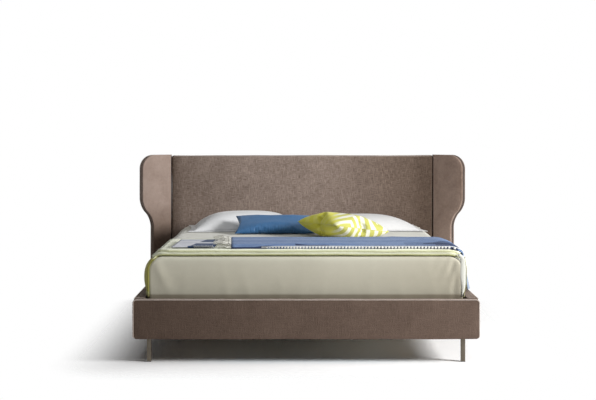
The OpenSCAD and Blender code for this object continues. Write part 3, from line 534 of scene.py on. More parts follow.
def rounded_outline(centre, wide, high, radius):
    """Points of a rounded rectangle in the plane of X and Z"""
    points, steps = [], 8
    for k, (sx, sz) in enumerate(((1, 1), (-1, 1), (-1, -1), (1, -1))):
        for i in range(steps + 1):
            a = math.radians(90 * (k + i / steps))
            points.append((centre[0] + sx * (wide / 2 - radius) + radius * math.cos(a), centre[1],
                           centre[2] + sz * (high / 2 - radius) + radius * math.sin(a)))
    return points


foot = box_mesh(rail_low, rail_high)
round_edges(foot, lambda p, d: abs(d.y) > 0.9, end_round, 6)
round_edges(foot, lambda p, d: abs(d.y) < 0.1 and p.y < rail_low.y + 1e-4, edge_round)
round_edges(foot, lambda p, d: abs(d.y) < 0.1 and p.y > rail_high.y - 1e-4, back_round)
slice_along(foot, 0, rail_low.x, rail_high.x, 0.05)
slice_along(foot, 2, rail_bottom, rail_top, 0.04)
soften(foot, 0.0022, 7)
finish_piece("foot_rail_upholstery", foot, rail_velvet_painted_shade, "bed_frame", ["foot_rail_cover"],
             sharp=40)

front_middle = (0, rail_low.y + 0.0016, (rail_bottom + rail_top) / 2)
front_line = rounded_outline(front_middle, 2 * (frame_half - welt_inset),
                             rail_top - rail_bottom - 2 * welt_inset, end_round - welt_inset)
start = min(range(len(front_line)),
            key=lambda i: abs(front_line[i][2] - rail_bottom - 0.003) + (front_line[i][0] < 0))
front_line = [p for p in front_line[start:] + front_line[:start] if p[2] > rail_bottom + 0.006]
welt("foot_rail_welt", [front_line], welt_radius, welt_cloth_painted_highlight, "bed_frame")
thread = cloth_material("taupe_thread", (0.20, 0.16, 0.135), (0.34, 0.28, 0.24), pitch=9000, roughness=0.6,
                        sheen=0.1)
stitches("foot_rail_stitches", [[(x, rail_low.y + seam_inset, seam_level) for x in even(-0.85, 0.85, 40)]])

side_welts, side_seams = [], []
for side, label in ((-1, "left"), (1, "right")):
    low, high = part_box(f"side_rail_{label}_cover")
    bar = box_mesh(low, high)
    round_edges(bar, lambda p, d: abs(d.y) > 0.9, edge_round)
    slice_along(bar, 1, low.y, high.y, 0.06)
    slice_along(bar, 2, rail_bottom, rail_top, 0.05)
    soften(bar, 0.0022, 6, side)
    finish_piece(f"side_rail_{label}_upholstery", bar, rail_velvet_painted_shade, "bed_frame",
                 [f"side_rail_{label}_cover"], sharp=40)
    along = even(low.y, high.y, 30)
    side_welts.append([(side * (frame_half - 0.0020), y, rail_top - 0.0020) for y in along])
    side_seams.append([(side * (frame_half - seam_inset), y, seam_level) for y in along])
welt("side_rail_welts", side_welts, welt_radius, welt_cloth_painted_highlight, "bed_frame")
stitches("side_rail_stitches", side_seams)


# Brackets, bolts and screws of the frame
# Pressed steel angles with a dark powder coat, and zinc-plated bolts.
metal_group, given, result = make_group("metal_wear", {"Scale": 1.0}, ["Wear", "Speckle"])
tree = metal_group
scuffs = cloud(tree, given["Vector"], times(tree, given["Scale"], 22.0), 5.0, Roughness=0.7)
link(tree, remap(tree, scuffs, 0.5, 0.75), result["Wear"])
link(tree, cloud(tree, given["Vector"], times(tree, given["Scale"], 900.0), 1.0), result["Speckle"])


def metal_material(name, dark, light, metallic, roughness, grain=0.0002, coat=0.0):
    material = empty_material(name)
    tree = material.node_tree
    worn = place_group(tree, metal_group, place_in(tree))
    return close_material(material, {
        "Base Color": mix_colour(tree, worn["Wear"], dark, light), "Metallic": metallic,
        "Roughness": remap(tree, worn["Wear"], to_low=roughness, to_high=roughness + 0.14),
        "Normal": bump_node(tree, worn["Speckle"], grain, 0.5), "Coat Weight": coat,
    })


dark_steel = metal_material("powder_coated_steel", (0.035, 0.035, 0.037), (0.075, 0.072, 0.07), 0.0, 0.5)
zinc = metal_material("zinc_plate", (0.50, 0.50, 0.49), (0.66, 0.65, 0.62), 1.0, 0.34)
dress("corner_bracket_left corner_bracket_right headboard_bracket_left headboard_bracket_right", dark_steel)
dress("corner_bolts headboard_bolts leg_screws base_screws wing_studs", zinc)


# Headboard panel
# A board with thick foam on its face, in a chenille cover that is pulled down
# from above, with a piped seam along its top. A shadow gap parts it from the wings.
panel_low, panel_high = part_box("headboard_cover")
shadow_gap = Vector((0.004, 0, 0))
panel = box_mesh(panel_low + shadow_gap, panel_high - shadow_gap)
round_edges(panel, lambda p, d: abs(d.z) > 0.9, 0.016, 6)
round_edges(panel, lambda p, d: abs(d.z) < 0.1 and p.z > panel_high.z - 1e-4, 0.012)
slice_along(panel, 0, panel_low.x, panel_high.x, 0.07)
slice_along(panel, 2, panel_low.z, panel_high.z, 0.07)
soften(panel, 0.0035, 4.2, 3)
finish_piece("headboard_upholstery", panel, chenille, "bed_frame", ["headboard_cover"],
             sharp=40)

panel_edge = panel_high.x - 0.0200
across = even(-panel_edge, panel_edge, 60)
top_welt = [(x, panel_low.y + 0.0034, panel_high.z - 0.0034) for x in across]
welt("headboard_welt", [top_welt], 0.0028, welt_cloth_painted_highlight, "bed_frame")
top_seam = [(x, panel_low.y + seam_inset, panel_high.z + 0.0008) for x in across]
stitches("headboard_stitches", [top_seam])


# Wings
# Each wing is a board between two foam facings, held at the panel's end on
# studs. A border band is sewn between the facings round the S-curved edge, with
# a piped seam and a row of stitches on both of its sides.
wing_angle = math.radians(-35)
wing_low_width = 0.131
wing_top_width = 0.214
curve_radius = 0.130
corner_radius = 0.095
curve_turn = math.acos(1 - (wing_top_width - wing_low_width) / (2 * curve_radius))
curve_middle = 0.630
curve_half = (wing_top_width - wing_low_width) / 2 / math.tan(curve_turn)
wing_top = panel_high.z + 0.005
wing_bottom = 0.020
wing_inner = -0.06
facing_depth = 0.012
wing_depth = 0.050
rim_inset, stitch_inset = 0.0022, 0.0026
stitch_gap = 0.0045


def wing_place(side):
    turned = Matrix.Translation((panel_high.x, panel_low.y, 0)) @ Matrix.Rotation(wing_angle, 4, "Z")
    return Matrix.Diagonal((side, 1, 1, 1)) @ turned


def wing_face(shape, depth, inset):
    """Face with the wing's outline, in the wing's own plane: X outwards along it, Z up"""
    # A rim that lies further in has its S-curve higher up
    shift = 0.435 * inset
    low = wing_low_width - inset
    wide = wing_top_width - inset
    top = wing_top - inset
    corners = [(wing_inner, wing_bottom), (low, wing_bottom), (low, curve_middle - curve_half + shift),
               (wide, curve_middle + curve_half + shift), (wide, top), (wing_inner, top)]
    shape.faces.new([shape.verts.new((x, depth, z)) for x, z in corners])
    reach = math.tan(curve_turn / 2) * 0.998
    cuts = (curve_radius + inset) * reach, (curve_radius - inset) * reach, corner_radius - inset
    for (x, z), cut, segments in zip(corners[2:5], cuts, (12, 12, 14)):
        spot = min(shape.verts, key=lambda v: (v.co - Vector((x, depth, z))).length)
        bmesh.ops.bevel(shape, geom=[spot], offset=cut, offset_type="OFFSET", segments=segments, profile=0.5,
                        affect="VERTICES", material=-1)
    return shape.faces[:][0]


def wing_rim(side, depth, inset):
    """Line along the wing's free edge, from its foot round the S-curve to the panel's top"""
    shape = bmesh.new()
    points = [v.co.copy() for v in wing_face(shape, depth, inset).verts]
    shape.free()
    foot_corner = Vector((wing_low_width - inset, depth, wing_bottom))
    start = min(range(len(points)), key=lambda i: (points[i] - foot_corner).length)
    points = points[start:] + points[:start]
    if points[1].x < 0:
        points = [points[0]] + points[:0:-1]
    run = [wing_place(side) @ p for p in points if p.x > -0.05]
    return [p for p in run if side * p.x > panel_high.x]


def wing_layer(side, front, back, inset, padded):
    """One layer of a wing, cut along the plane of the panel's end and closed there"""
    shape = bmesh.new()
    face = wing_face(shape, back, inset)
    grown = bmesh.ops.extrude_face_region(shape, geom=[face])
    moved = [g for g in grown["geom"] if isinstance(g, bmesh.types.BMVert)]
    bmesh.ops.translate(shape, vec=(0, front - back, 0), verts=moved)
    bmesh.ops.recalc_face_normals(shape, faces=shape.faces[:])
    if padded:
        outer = front if padded > 0 else back
        round_edges(shape, lambda p, d: abs(p.y - outer) < 1e-5, 0.0055, 4)
        caps = [f for f in shape.faces if len(f.verts) > 8 and abs(f.calc_center_median().y - outer) < 1e-4]
        for thickness, depth in ((0.010, 0.0012), (0.016, 0.0010), (0.022, 0.0006)):
            bmesh.ops.inset_region(shape, faces=caps, thickness=thickness, depth=depth, use_even_offset=True)
        slice_along(shape, 2, wing_bottom, wing_top, 0.05)
        soften(shape, 0.0012, 9, side * 5)
    bmesh.ops.transform(shape, matrix=wing_place(side), verts=shape.verts)
    if side < 0:
        bmesh.ops.reverse_faces(shape, faces=shape.faces[:])
    cut = cut_plane(shape, (side * panel_high.x, 0, 0), (side, 0, 0), 1e-6, clear_inner=True)
    rim = [e for e in cut["geom_cut"] if isinstance(e, bmesh.types.BMEdge)]
    bmesh.ops.holes_fill(shape, edges=rim)
    return shape


back_seam = wing_depth - facing_depth
# The left border is in the left wing's painted light velvet, the right border in the painted shade velvet.
for side, label, painted_border_cloth in ((-1, "left", wing_velvets_painted_light[-1]), (1, "right", border_velvet_painted_shade)):
    for part, front, back, inset, padded, cloth in (
        ("front_facing", 0.0, facing_depth, 0.0, 1, wing_velvets_painted_light[side]),
        ("border", facing_depth, back_seam, 0.003, 0, painted_border_cloth),
        ("back_facing", back_seam, wing_depth, 0.0, -1, wing_velvets_painted_light[side]),
    ):
        piece = wing_layer(side, front, back, inset, padded)
        finish_piece(f"wing_{label}_{part}_upholstery", piece, cloth, "bed_frame",
                     [f"wing_{label}_{part}"], sharp=40)
# The left piping is in the painted highlight welt cloth, the right piping in the painted shade velvet.
for side, label, painted_edge_cloth in ((-1, "left", welt_cloth_painted_highlight), (1, "right", border_velvet_painted_shade)):
    rims = [wing_rim(side, depth, rim_inset) for depth in (facing_depth, back_seam)]
    welt(f"wing_{label}_welts", rims, 0.0026, painted_edge_cloth, "bed_frame")
stitch_depths = (facing_depth + stitch_gap, back_seam - stitch_gap)
stitches("wing_stitches",
         [wing_rim(side, depth, stitch_inset) for side in (-1, 1) for depth in stitch_depths])


# Legs and glides
# Slender square bars of satin bronzed metal, welded under a mounting plate. They
# stand on black plastic glides, and so do the headboard and its wings.
bronze = metal_material("satin_bronze", (0.125, 0.105, 0.078), (0.190, 0.163, 0.125), 0.75, 0.42, 0.0001,
                        coat=0.2)
black_plastic = metal_material("black_plastic", (0.012, 0.012, 0.012), (0.030, 0.030, 0.030), 0.0, 0.48,
                               0.0003)
weld_bead = metal_material("bronzed_weld", (0.10, 0.085, 0.06), (0.17, 0.145, 0.11), 0.7, 0.5, 0.0005)
leg_width = 0.022
plate_depth = 0.004
for side, label in ((-1, "left"), (1, "right")):
    low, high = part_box(f"leg_{label}")
    bar_left, bar_right = (high.x - leg_width, high.x) if side > 0 else (low.x, low.x + leg_width)
    bar = box_mesh((bar_left, low.y, low.z), (bar_right, low.y + leg_width, high.z - plate_depth))
    round_edges(bar, lambda p, d: abs(d.z) > 0.9, 0.0016, 3)
    plate = box_mesh((low.x, low.y, high.z - plate_depth), high)
    round_edges(plate, lambda p, d: abs(d.z) > 0.9, 0.004, 4)
    round_edges(plate, lambda p, d: abs(d.z) < 0.1 and p.z < high.z - plate_depth + 1e-4, 0.0008, 2)
    take_in(bar, mesh_data("plate", plate))
    finish_piece(f"leg_{label}_bar", bar, bronze, "bed_frame", [f"leg_{label}"], sharp=40)
    middle = Vector(((bar_left + bar_right) / 2, low.y + leg_width / 2, high.z - plate_depth - 0.0002))
    bead = [middle + Vector((x, y, 0)) * 0.0112 for x, y in ((1, 1), (-1, 1), (-1, -1), (1, -1))]
    welt(f"leg_{label}_weld", [bead], 0.0016, weld_bead, "bed_frame", closed=True, resolution=1)
dress("leg_glides headboard_glides", black_plastic)


# Slatted base
# Powder-coated steel tubes carry two rows of bowed, clear-lacquered beech slats
# in plastic holders. A centre leg with a screw-in foot stands under the middle.
beech = wood_material("lacquered_beech", (0.52, 0.36, 0.21), (0.70, 0.53, 0.35), (1.5, 16, 16), 2.4, 0.42,
                      0.35)
dress("slats_left slats_right", beech)
dress("base_brackets base_left_tube base_right_tube base_center_tube", dark_steel)
dress("base_head_tube base_foot_tube center_leg", dark_steel)
dress("tube_plugs slat_holders_left slat_holders_right slat_holders_center center_leg_foot", black_plastic)


# Mattress
# A foam mattress in a quilted knitted cover, with piping round its lower edge.
# It lies loose on the slats, inside the rails.
def node_of(tree, kind):
    """The last node of a kind"""
    return [n for n in tree.nodes if n.bl_idname == "ShaderNode" + kind][-1]


mattress_low, mattress_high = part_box("mattress")
cover_slack = Vector((0.004, 0.004, 0.004))
mattress_low, mattress_high = mattress_low + cover_slack, mattress_high - cover_slack
ticking = cloth_material("knitted_ticking", (0.66, 0.65, 0.60), (0.80, 0.79, 0.74), patch=6, contrast=0.4,
                         pitch=1800, bump=0.0005, roughness=0.9, sheen=0.1)
tree = ticking.node_tree
x, y, _ = axes_of(tree, place_in(tree))
waves = []
for operation in ("ADD", "SUBTRACT"):
    turns = times(tree, math_node(tree, operation, x, y), 24.0)
    waves.append(math_node(tree, "ABSOLUTE", math_node(tree, "SINE", turns)))
cell = math_node(tree, "POWER", times(tree, *waves), 0.35)
tufts = bump_node(tree, cell, 0.008, 0.9, node_of(tree, "Bump").outputs[0])
link(tree, tufts, node_of(tree, "BsdfPrincipled").inputs["Normal"])
core = box_mesh(mattress_low, mattress_high)
round_edges(core, lambda p, d: abs(d.z) > 0.9, 0.040, 8)
round_edges(core, lambda p, d: abs(d.y) > 0.9 and p.z > 0.4, 0.068, 9)
round_edges(core, lambda p, d: abs(d.z) < 0.2 and p.z < mattress_low.z + 1e-4, 0.020, 4)
core_piece = finish_piece("mattress_body", core, ticking, "mattress_set", ["mattress"], sharp=40)
tape = cloth_material("mattress_tape", (0.55, 0.55, 0.52), (0.66, 0.66, 0.62), patch=20, pitch=3000,
                      sheen=0.1)
mattress_middle = (mattress_low.y + mattress_high.y) / 2
lower_line = []
for x, _, y in rounded_outline((0, 0, 0), 1.592, 1.992, 0.040):
    lower_line.append((x * 0.9985, (y + mattress_middle) * 0.9985, mattress_low.z + 0.024))
welt("mattress_piping", [lower_line], 0.0010, tape, "mattress_set", closed=True)


# Fitted sheet
# Smooth beige sateen, stretched over the mattress. Its corners are drawn in,
# with slanting pulls, and its elastic hem gathers in small waves underneath.
# Painted shade on the sheet: dark along its foot just above the rail, a painted highlight along its top edge,
# and darker towards the right.
sheet_painted_shade = [
    ("Z", [(0.30, 0.40), (0.335, 0.48), (0.345, 0.90), (0.42, 0.87), (0.49, 0.93), (0.535, 1.06)]),
    ("X", [(-0.8, 1.0), (0.3, 1.0), (0.8, 0.79)]),
]
sheet_cloth = cloth_material("beige_sateen", (0.495, 0.475, 0.385), (0.560, 0.540, 0.445), coords="UV",
                             patch=5, contrast=0.5, pitch=9000, bump=0.0002, roughness=0.55, sheen=0.12,
                             soft=0.003, painted_shade=sheet_painted_shade)
sheet_low, sheet_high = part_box("fitted_sheet")
sheet_middle = (sheet_low + sheet_high) / 2
sheet_half = (sheet_high - sheet_low) / 2
side_round = 0.0745
hem_round = 0.0265
hem_share = (0.93, 0.945)
sheet_sunk = 0.0020
bed_top_edge = 0.535


def graded(t, half, edge, share):
    """Way from the middle at t from -1 to 1, with the outer share of the cells in the rounded edge"""
    a = abs(t)
    way = a / (1 - share) * (half - edge) if a < 1 - share else half - edge + (a - 1 + share) / share * edge
    return math.copysign(way, t)


def circled(a, b):
    """A point of a square corner, moved to the matching point of a round one"""
    length = math.hypot(a, b)
    return (a, b) if length < 1e-9 else (a * max(a, b) / length, b * max(a, b) / length)


def sheet_form(x, y, z):
    """Mattress form: wide round top edges, small ones below, then rounded off at both ends"""
    side_x, side_z = math.copysign(1, x), math.copysign(1, z)
    r = side_round if z > 0 else hem_round
    dx, dz = abs(x) - (sheet_half.x - r), abs(z) - (sheet_half.z - r)
    flat_x, flat_z = abs(x), abs(z)
    normal = Vector((1, 0)) if dx - r > dz - r else Vector((0, 1))
    inward = sheet_half.x - abs(x) if normal.x else sheet_half.z - abs(z)
    if dx > 0 and dz > 0:
        inward = r - max(dx, dz)
        dx, dz = circled(dx, dz)
        flat_x, flat_z = sheet_half.x - r + dx, sheet_half.z - r + dz
        normal = Vector((dx, dz)).normalized() if dx + dz > 1e-9 else Vector((1, 0))
    end_r = 0.015 - 0.008 * normal.x
    dy = abs(y) - (sheet_half.y - end_r)
    if dy > 0 and inward < end_r:
        down, out = circled(end_r - inward, dy)
        drawn = end_r - down - inward
        flat_x -= normal.x * drawn
        flat_z -= normal.y * drawn
        y = math.copysign(sheet_half.y - end_r + out, y)
    return Vector((side_x * flat_x, y, side_z * flat_z)) + sheet_middle


def lay_flat(shape, flat_at):
    """Gives a cloth its flat measures, from flat_at(face, vertex)"""
    uv = shape.loops.layers.uv.new("cloth")
    for face in shape.faces:
        for loop in face.loops:
            loop[uv].uv = flat_at(face, loop.vert)


def flat_on_sheet(face, vertex):
    _, end, top = [abs(c) for c in face.calc_center_median()]
    x, y, z = vertex.co
    if top > 0.999:
        return x * 0.8, y
    return (x * 0.8, 1 + z * 0.13) if end > 0.999 else (0.8 + z * 0.13, y)


def drift(x, y, z):
    """Slow, smooth and uneven change from place to place, between -1 and 1"""
    return noise.noise(Vector((x, y, z)))


def ridge(distance, width):
    return math.exp(-(distance / width) ** 2)


def smooth_step(t):
    t = min(max(t, 0.0), 1.0)
    return t * t * (3 - 2 * t)


def line_distance(x, z, a, b):
    """Distance of a point from the line a to b, and its share of the way along"""
    ax, az, bx, bz = *a, *b
    length = math.hypot(bx - ax, bz - az)
    ux, uz = (bx - ax) / length, (bz - az) / length
    return (x - ax) * uz - (z - az) * ux, ((x - ax) * ux + (z - az) * uz) / length


cells = (110, 70, 22)
shape = bmesh.new()
bmesh.ops.create_cube(shape, size=2)
for axis, count in enumerate(cells):
    runs = [e for e in shape.edges if abs((e.verts[1].co - e.verts[0].co)[axis]) > 1.9]
    bmesh.ops.subdivide_edges(shape, edges=runs, cuts=count - 1, use_grid_fill=True)
lay_flat(shape, flat_on_sheet)
# Underneath, the sheet reaches only a little way in
hidden = []
for face in shape.faces:
    x, y, z = face.calc_center_median()
    if z < -0.999 and abs(x) < hem_share[0] and abs(y) < hem_share[1]:
        hidden.append(face)
bmesh.ops.delete(shape, geom=hidden, context="FACES")
# Width of the rounded edge and the share of the cells in it, for each axis
edge_cells = ((side_round, 0.16), (0.020, 0.10), (side_round, 0.55))
for vertex in shape.verts:
    p = Vector([graded(t, half, *edge) for t, half, edge in zip(vertex.co, sheet_half, edge_cells)])
    vertex.co = sheet_form(*p)
shape.normal_update()
for vertex in shape.verts:
    p, n = vertex.co.copy(), vertex.normal.copy()
    lift = 0.0
    front = max(0.0, -n.y)
    drop = max(0.0, min(1.0, (bed_top_edge - p.z) / 0.2))
    # Broad dents of the stretched front, a slanting pull from its left corner, and ripples at its right end
    lift += front * 0.0022 * drift(p.x * 3.1, 1.7, p.z * 5.0)
    across, way = line_distance(p.x, p.z, (-0.775, 0.520), (-0.690, 0.330))
    lift += front * 0.0045 * ridge(across, 0.026) * max(0.0, 1 - abs(way - 0.35) * 1.3)
    for start, end, deep in (
        ((0.780, 0.515), (0.735, 0.380), 0.0032),
        ((0.745, 0.525), (0.685, 0.400), 0.0026),
        ((0.700, 0.528), (0.660, 0.450), 0.0018),
        ((0.790, 0.470), (0.775, 0.300), 0.0012),
    ):
        across, way = line_distance(p.x, p.z, start, end)
        crease = ridge(across, 0.012) - 0.7 * ridge(across - 0.024, 0.014)
        lift += front * deep * crease * max(0.0, 1 - abs(way - 0.4) * 1.5)
    for k in range(9):
        x = -0.62 + 0.155 * k + 0.03 * math.sin(k * 2.3)
        lift += front * 0.0012 * ridge(p.x - x - 0.05 * math.sin(k) * drop, 0.02) * drop
    for x, wide, deep in ((0.755, 0.016, -0.0011), (0.730, 0.016, 0.0006), (0.781, 0.010, 0.0006)):
        crease = ridge(p.x - x + 0.03 * (p.z - 0.42), wide)
        lift += front * deep * crease * smooth_step((bed_top_edge - p.z) / 0.08)
    if p.z < sheet_low.z + 0.02:
        around = p.x * 31 if abs(n.y) > 0.5 else p.y * 31
        lift -= 0.0012 + 0.0012 * math.sin(around * 5.0)
    vertex.co = p + n * (lift - sheet_sunk)
sheet_piece = finish_piece("fitted_sheet_cloth", shape, sheet_cloth, "mattress_set",
                           ["fitted_sheet"])
thickness = sheet_piece.modifiers.new("cloth_thickness", "SOLIDIFY")
thickness.thickness = 0.0018
thickness.offset = -1
hem = rounded_outline((0, 0, 0), 1.6 * hem_share[0] + 0.012, 2.0 * hem_share[1] + 0.012, 0.02)
elastic_line = [(x, z + sheet_middle.y, sheet_low.z + 0.004) for x, _, z in hem]
elastic = welt("fitted_sheet_elastic", [elastic_line], 0.0022, tape, "mattress_set",
               closed=True)


# Coverlet
# Cream cotton that covers the bed and hangs down both sides almost to the rails.
# A lime cord is sewn into its hems, and its right front corner is rolled in.
def add_bands(material, bands, skew=0.0):
    """Lays coloured bands over a cloth: (u0, u1, v0, v1, colour, strength) in its own flat measures"""
    tree = material.node_tree
    shade = node_of(tree, "BsdfPrincipled").inputs["Base Color"]
    colour = shade.links[0].from_socket
    at = place_in(tree, "UV")
    sway = times(tree, plus(tree, cloud(tree, at, 160.0), -0.5), 0.004)
    u, v, _ = axes_of(tree, at)
    u = plus(tree, u, math_node(tree, "MULTIPLY_ADD", v, skew, sway))
    v = plus(tree, v, sway)
    for u0, u1, v0, v1, tint, strength in bands:
        share = strength
        for way, low, high in ((u, u0, u1), (v, v0, v1)):
            share = times(tree, share, math_node(tree, "GREATER_THAN", way, low))
            share = times(tree, share, math_node(tree, "LESS_THAN", way, high))
        colour = mix_colour(tree, share, colour, tint)
    link(tree, colour, shade)


cream = {"coords": "UV", "patch": 6, "contrast": 0.6, "pitch": 5200, "bump": 0.0005, "sheen": 0.15,
         "soft": 0.004}
# The coverlet darkens on its right side in painted shade, most where it hangs down.
coverlet_cloth = cloth_material("cream_cotton", (0.62, 0.62, 0.56), (0.76, 0.76, 0.70), **cream,
                                painted_shade=[("X", [(-0.9, 0.93), (0.6, 0.93), (0.800, 0.88), (0.824, 0.58)])])
# The lime piping is painted dark olive, so that along the folds' front it also stands as a painted shadow
# line under the fold.
lime_cord = cloth_material("lime_cord", (0.24, 0.225, 0.065), (0.35, 0.335, 0.12), patch=30, pitch=5000,
                           sheen=0.2)
lime_tint, lime_in_painted_shade = (0.60, 0.61, 0.30), (0.40, 0.36, 0.05)
# At the front of its left side the coverlet is tinted olive, as painted shade where it swells out from the
# sheet; the other lime bands are its binding.
add_bands(coverlet_cloth, [
    (-2, 0, -1.02, -0.985, lime_tint, 0.7), (-2, -0.78, -1.02, -0.86, lime_in_painted_shade, 0.85),
    (-2, -0.95, -1.02, 1, lime_tint, 0.7), (0.95, 2, -0.9, 1, lime_tint, 0.7),
])
fold_cloths_painted_light = []
# The upper fold is a lighter copy of the lower fold's cloth, as painted light, and both darken towards the
# right in painted shade; the lime bands are the binding along their front.
for part, dark, light, band in (
    ("lower", (0.56, 0.575, 0.43), (0.69, 0.70, 0.55), (-2, 2, 0.6555, 0.6685, lime_tint, 0.7)),
    ("upper", (0.72, 0.735, 0.59), (0.84, 0.85, 0.70), (-2, 2, 0.6510, 0.6590, lime_tint, 0.5)),
):
    cloth = cloth_material("cream_cotton_painted_light_" + part, dark, light, **cream,
                           painted_shade=[("X", [(0.3, 1.0), (0.78, 0.84)])])
    add_bands(cloth, [band])
    fold_cloths_painted_light.append(cloth)
lining_cloth = cloth_material("white_lining", (0.56, 0.56, 0.50), (0.66, 0.66, 0.61), coords="UV", patch=9,
                              contrast=0.6, pitch=5200, bump=0.0004, roughness=0.85, sheen=0.15, soft=0.003)
pale_cord = cloth_material("pale_lime_cord", (0.46, 0.47, 0.24), (0.62, 0.63, 0.38), patch=30, pitch=5000,
                           sheen=0.2)
drape_flat = 0.730
drape_round = 0.0745
drape_turn = drape_round * math.pi / 2
cloth_front = -1.011
side_start = 0.745


def drape(s, off):
    """X and Z of cloth that lies across the bed: s from the middle line, off above the sheet"""
    past = abs(s) - drape_flat
    turn = min(max(past / drape_round, 0), math.pi / 2)
    x = min(abs(s), drape_flat) + (drape_round + off) * math.sin(turn)
    z = sheet_high.z - drape_round + (drape_round + off) * math.cos(turn) - max(0, past - drape_turn)
    return math.copysign(x, s), z


def hanging(s):
    """0 on top of the bed, 1 where the cloth hangs freely"""
    return smooth_step((abs(s) - drape_flat - 0.03) / 0.10)


def end_drop(y, radius=0.015):
    """How far the mattress's edge is rounded off at its foot end"""
    past = min(max(cloth_front - 0.0035 + radius - y, 0), radius * 0.98)
    return radius - math.sqrt(radius ** 2 - past ** 2)


def cloth_grid(across, along, place):
    """Cloth as a grid: place(s, t) gives each point, and s and t are its own flat measures"""
    shape = bmesh.new()
    bmesh.ops.create_grid(shape, x_segments=len(across) - 1, y_segments=len(along) - 1, size=1)
    flat = {}
    for vertex in shape.verts:
        s = across[round((vertex.co.x + 1) / 2 * (len(across) - 1))]
        t = along[round((vertex.co.y + 1) / 2 * (len(along) - 1))]
        flat[vertex.index] = (s, t)
        vertex.co = place(s, t)
    lay_flat(shape, lambda face, vertex: flat[vertex.index])
    return shape


def thicken(piece, depth):
    layer = piece.modifiers.new("cloth_thickness", "SOLIDIFY")
    layer.thickness = depth
    layer.offset = 0
    layer.use_even_offset = True


def coverlet_rise(s, y):
    """How far the coverlet stands off the sheet"""
    side = math.copysign(1, s)
    away = smooth_step((y - cloth_front) / 0.22)
    wave = drift(y * 3.4, side * 4.0, abs(s) * 2.2)
    off = 0.0050 + hanging(s) * (0.0005 + away * (0.012 + 0.009 * wave + 0.004 * math.sin(y * 11 + side)))
    low_share = min(max((abs(s) - 0.790) / 0.184, 0.0), 1.0)
    if side < 0:
        bulge = math.sin(math.pi * min(low_share, 0.86)) * smooth_step((y - cloth_front) / 0.06)
        off += 0.0185 * bulge * (1 - 0.5 * away)
    return off + 0.0012 * drift(s * 7, y * 7, 0)


def coverlet_place(s, t):
    side = math.copysign(1, s)
    hang = hanging(s)
    tucked = 1 - smooth_step((abs(s) - side_start) / 0.04)
    y = t + tucked * 0.022 * (1 - smooth_step((t - cloth_front) / 0.12))
    x, z = drape(s, coverlet_rise(s, y))
    x -= side * hang * end_drop(y, 0.019) * 0.6
    z -= (1 - hang) * end_drop(y)
    return Vector((x, y, z + hang * 0.003 * math.sin(y * 7)))


coverlet_half = 0.974
cord_gap = 0.0030
coverlet_across = even(-coverlet_half, coverlet_half, 150)
coverlet_along = [cloth_front, -1.008, -1.004, -0.998, -0.990, -0.980, -0.970]
coverlet_along += steps_between(-0.955, 0.960, 0.022)
cover = cloth_grid(coverlet_across, coverlet_along, coverlet_place)
coverlet = finish_piece("coverlet_cloth", cover, coverlet_cloth, "mattress_set",
                        ["coverlet"])
thicken(coverlet, 0.0080)
under_hem = Vector((0, 0, -0.0035))
cord_runs = []
for side in (-1, 1):
    cord_runs.append([coverlet_place(side * coverlet_half, y) + under_hem for y in coverlet_along])
for side, back in ((-1, 0.0), (1, 0.010)):
    run = []
    for s in coverlet_across:
        if side * s > side_start:
            shift = Vector((-side, -1, hanging(s) - 1)) * cord_gap
            run.append(coverlet_place(s, cloth_front + back) + shift)
    cord_runs.append(run)
hem_cord = welt("coverlet_cord", cord_runs, 0.0017, lime_cord, "mattress_set")

# The right front corner is turned in, so that a soft narrow roll hangs there down to a point
roll = bmesh.new()
rings = []
roll_width, roll_top, roll_length = 0.0178, 0.547, 0.220
for u in even(0, 1, 24):
    wide = 0.006
    if u > 0:
        swell = 0.14 + 0.86 * (1 - (1 - u) ** 1.6) * 0.5 + 0.43 * u
        wide = roll_width * math.sin(math.pi * min(1, swell)) ** 0.5
    wide *= 1 - smooth_step((u - 0.86) / 0.14) * 0.9
    across = 0.8040 - 0.0080 * smooth_step((u - 0.75) / 0.25) - 0.020 * (1 - smooth_step(u / 0.14))
    across += 0.0012 * math.sin(u * 9)
    middle = Vector((across, cloth_front - 0.0002, roll_top - roll_length * u))
    spot = Matrix.Translation(middle) @ Matrix.Diagonal((wide, 0.0048, 1, 1))
    ring = bmesh.ops.create_circle(roll, segments=14, radius=1, matrix=spot)
    rings.append(ring["verts"])


def ring_edges(ring):
    return [e for e in roll.edges if set(e.verts) <= set(ring)]


for above, below in zip(rings, rings[1:]):
    bmesh.ops.bridge_loops(roll, edges=ring_edges(above) + ring_edges(below))
for ring in (rings[0], rings[-1]):
    bmesh.ops.holes_fill(roll, edges=ring_edges(ring))
bmesh.ops.recalc_face_normals(roll, faces=roll.faces[:])
roll_piece = finish_piece("coverlet_corner_roll", roll, lining_cloth, "mattress_set")
roll_line = []
for u in even(0, 1, 20):
    across = 0.8195 - 0.011 * smooth_step((u - 0.7) / 0.3) - 0.008 * (1 - smooth_step(u / 0.3))
    roll_line.append(Vector((across, cloth_front - 0.0030, 0.532 - 0.198 * u)))
roll_cord = welt("coverlet_corner_cord", [roll_line], 0.0015, lime_cord, "mattress_set")


# Turned-back part of the coverlet
# The front of the coverlet is folded back in two layers, each a doubled cloth
# with a full round front edge and the lime cord below it.
fold_front = -1.008
fold_back = -0.358


def fold_section(t, length, nose, centre):
    """Place along the bed and height above the sheet, for cloth folded round at the front"""
    h_front, h_back = nose
    bend = math.pi * h_front
    if length < t < length + bend:
        a = (t - length) / h_front
        return fold_front + h_front * (1 - math.sin(a)), centre[0] + h_front * math.cos(a)
    layer = 1 if t <= length else -1
    d = length - t if layer > 0 else t - length - bend
    near = 1 - smooth_step(d / 0.07)
    level = centre[1] + (centre[0] - centre[1]) * near
    return fold_front + h_front + d, level + layer * (h_back + (h_front - h_back) * near)


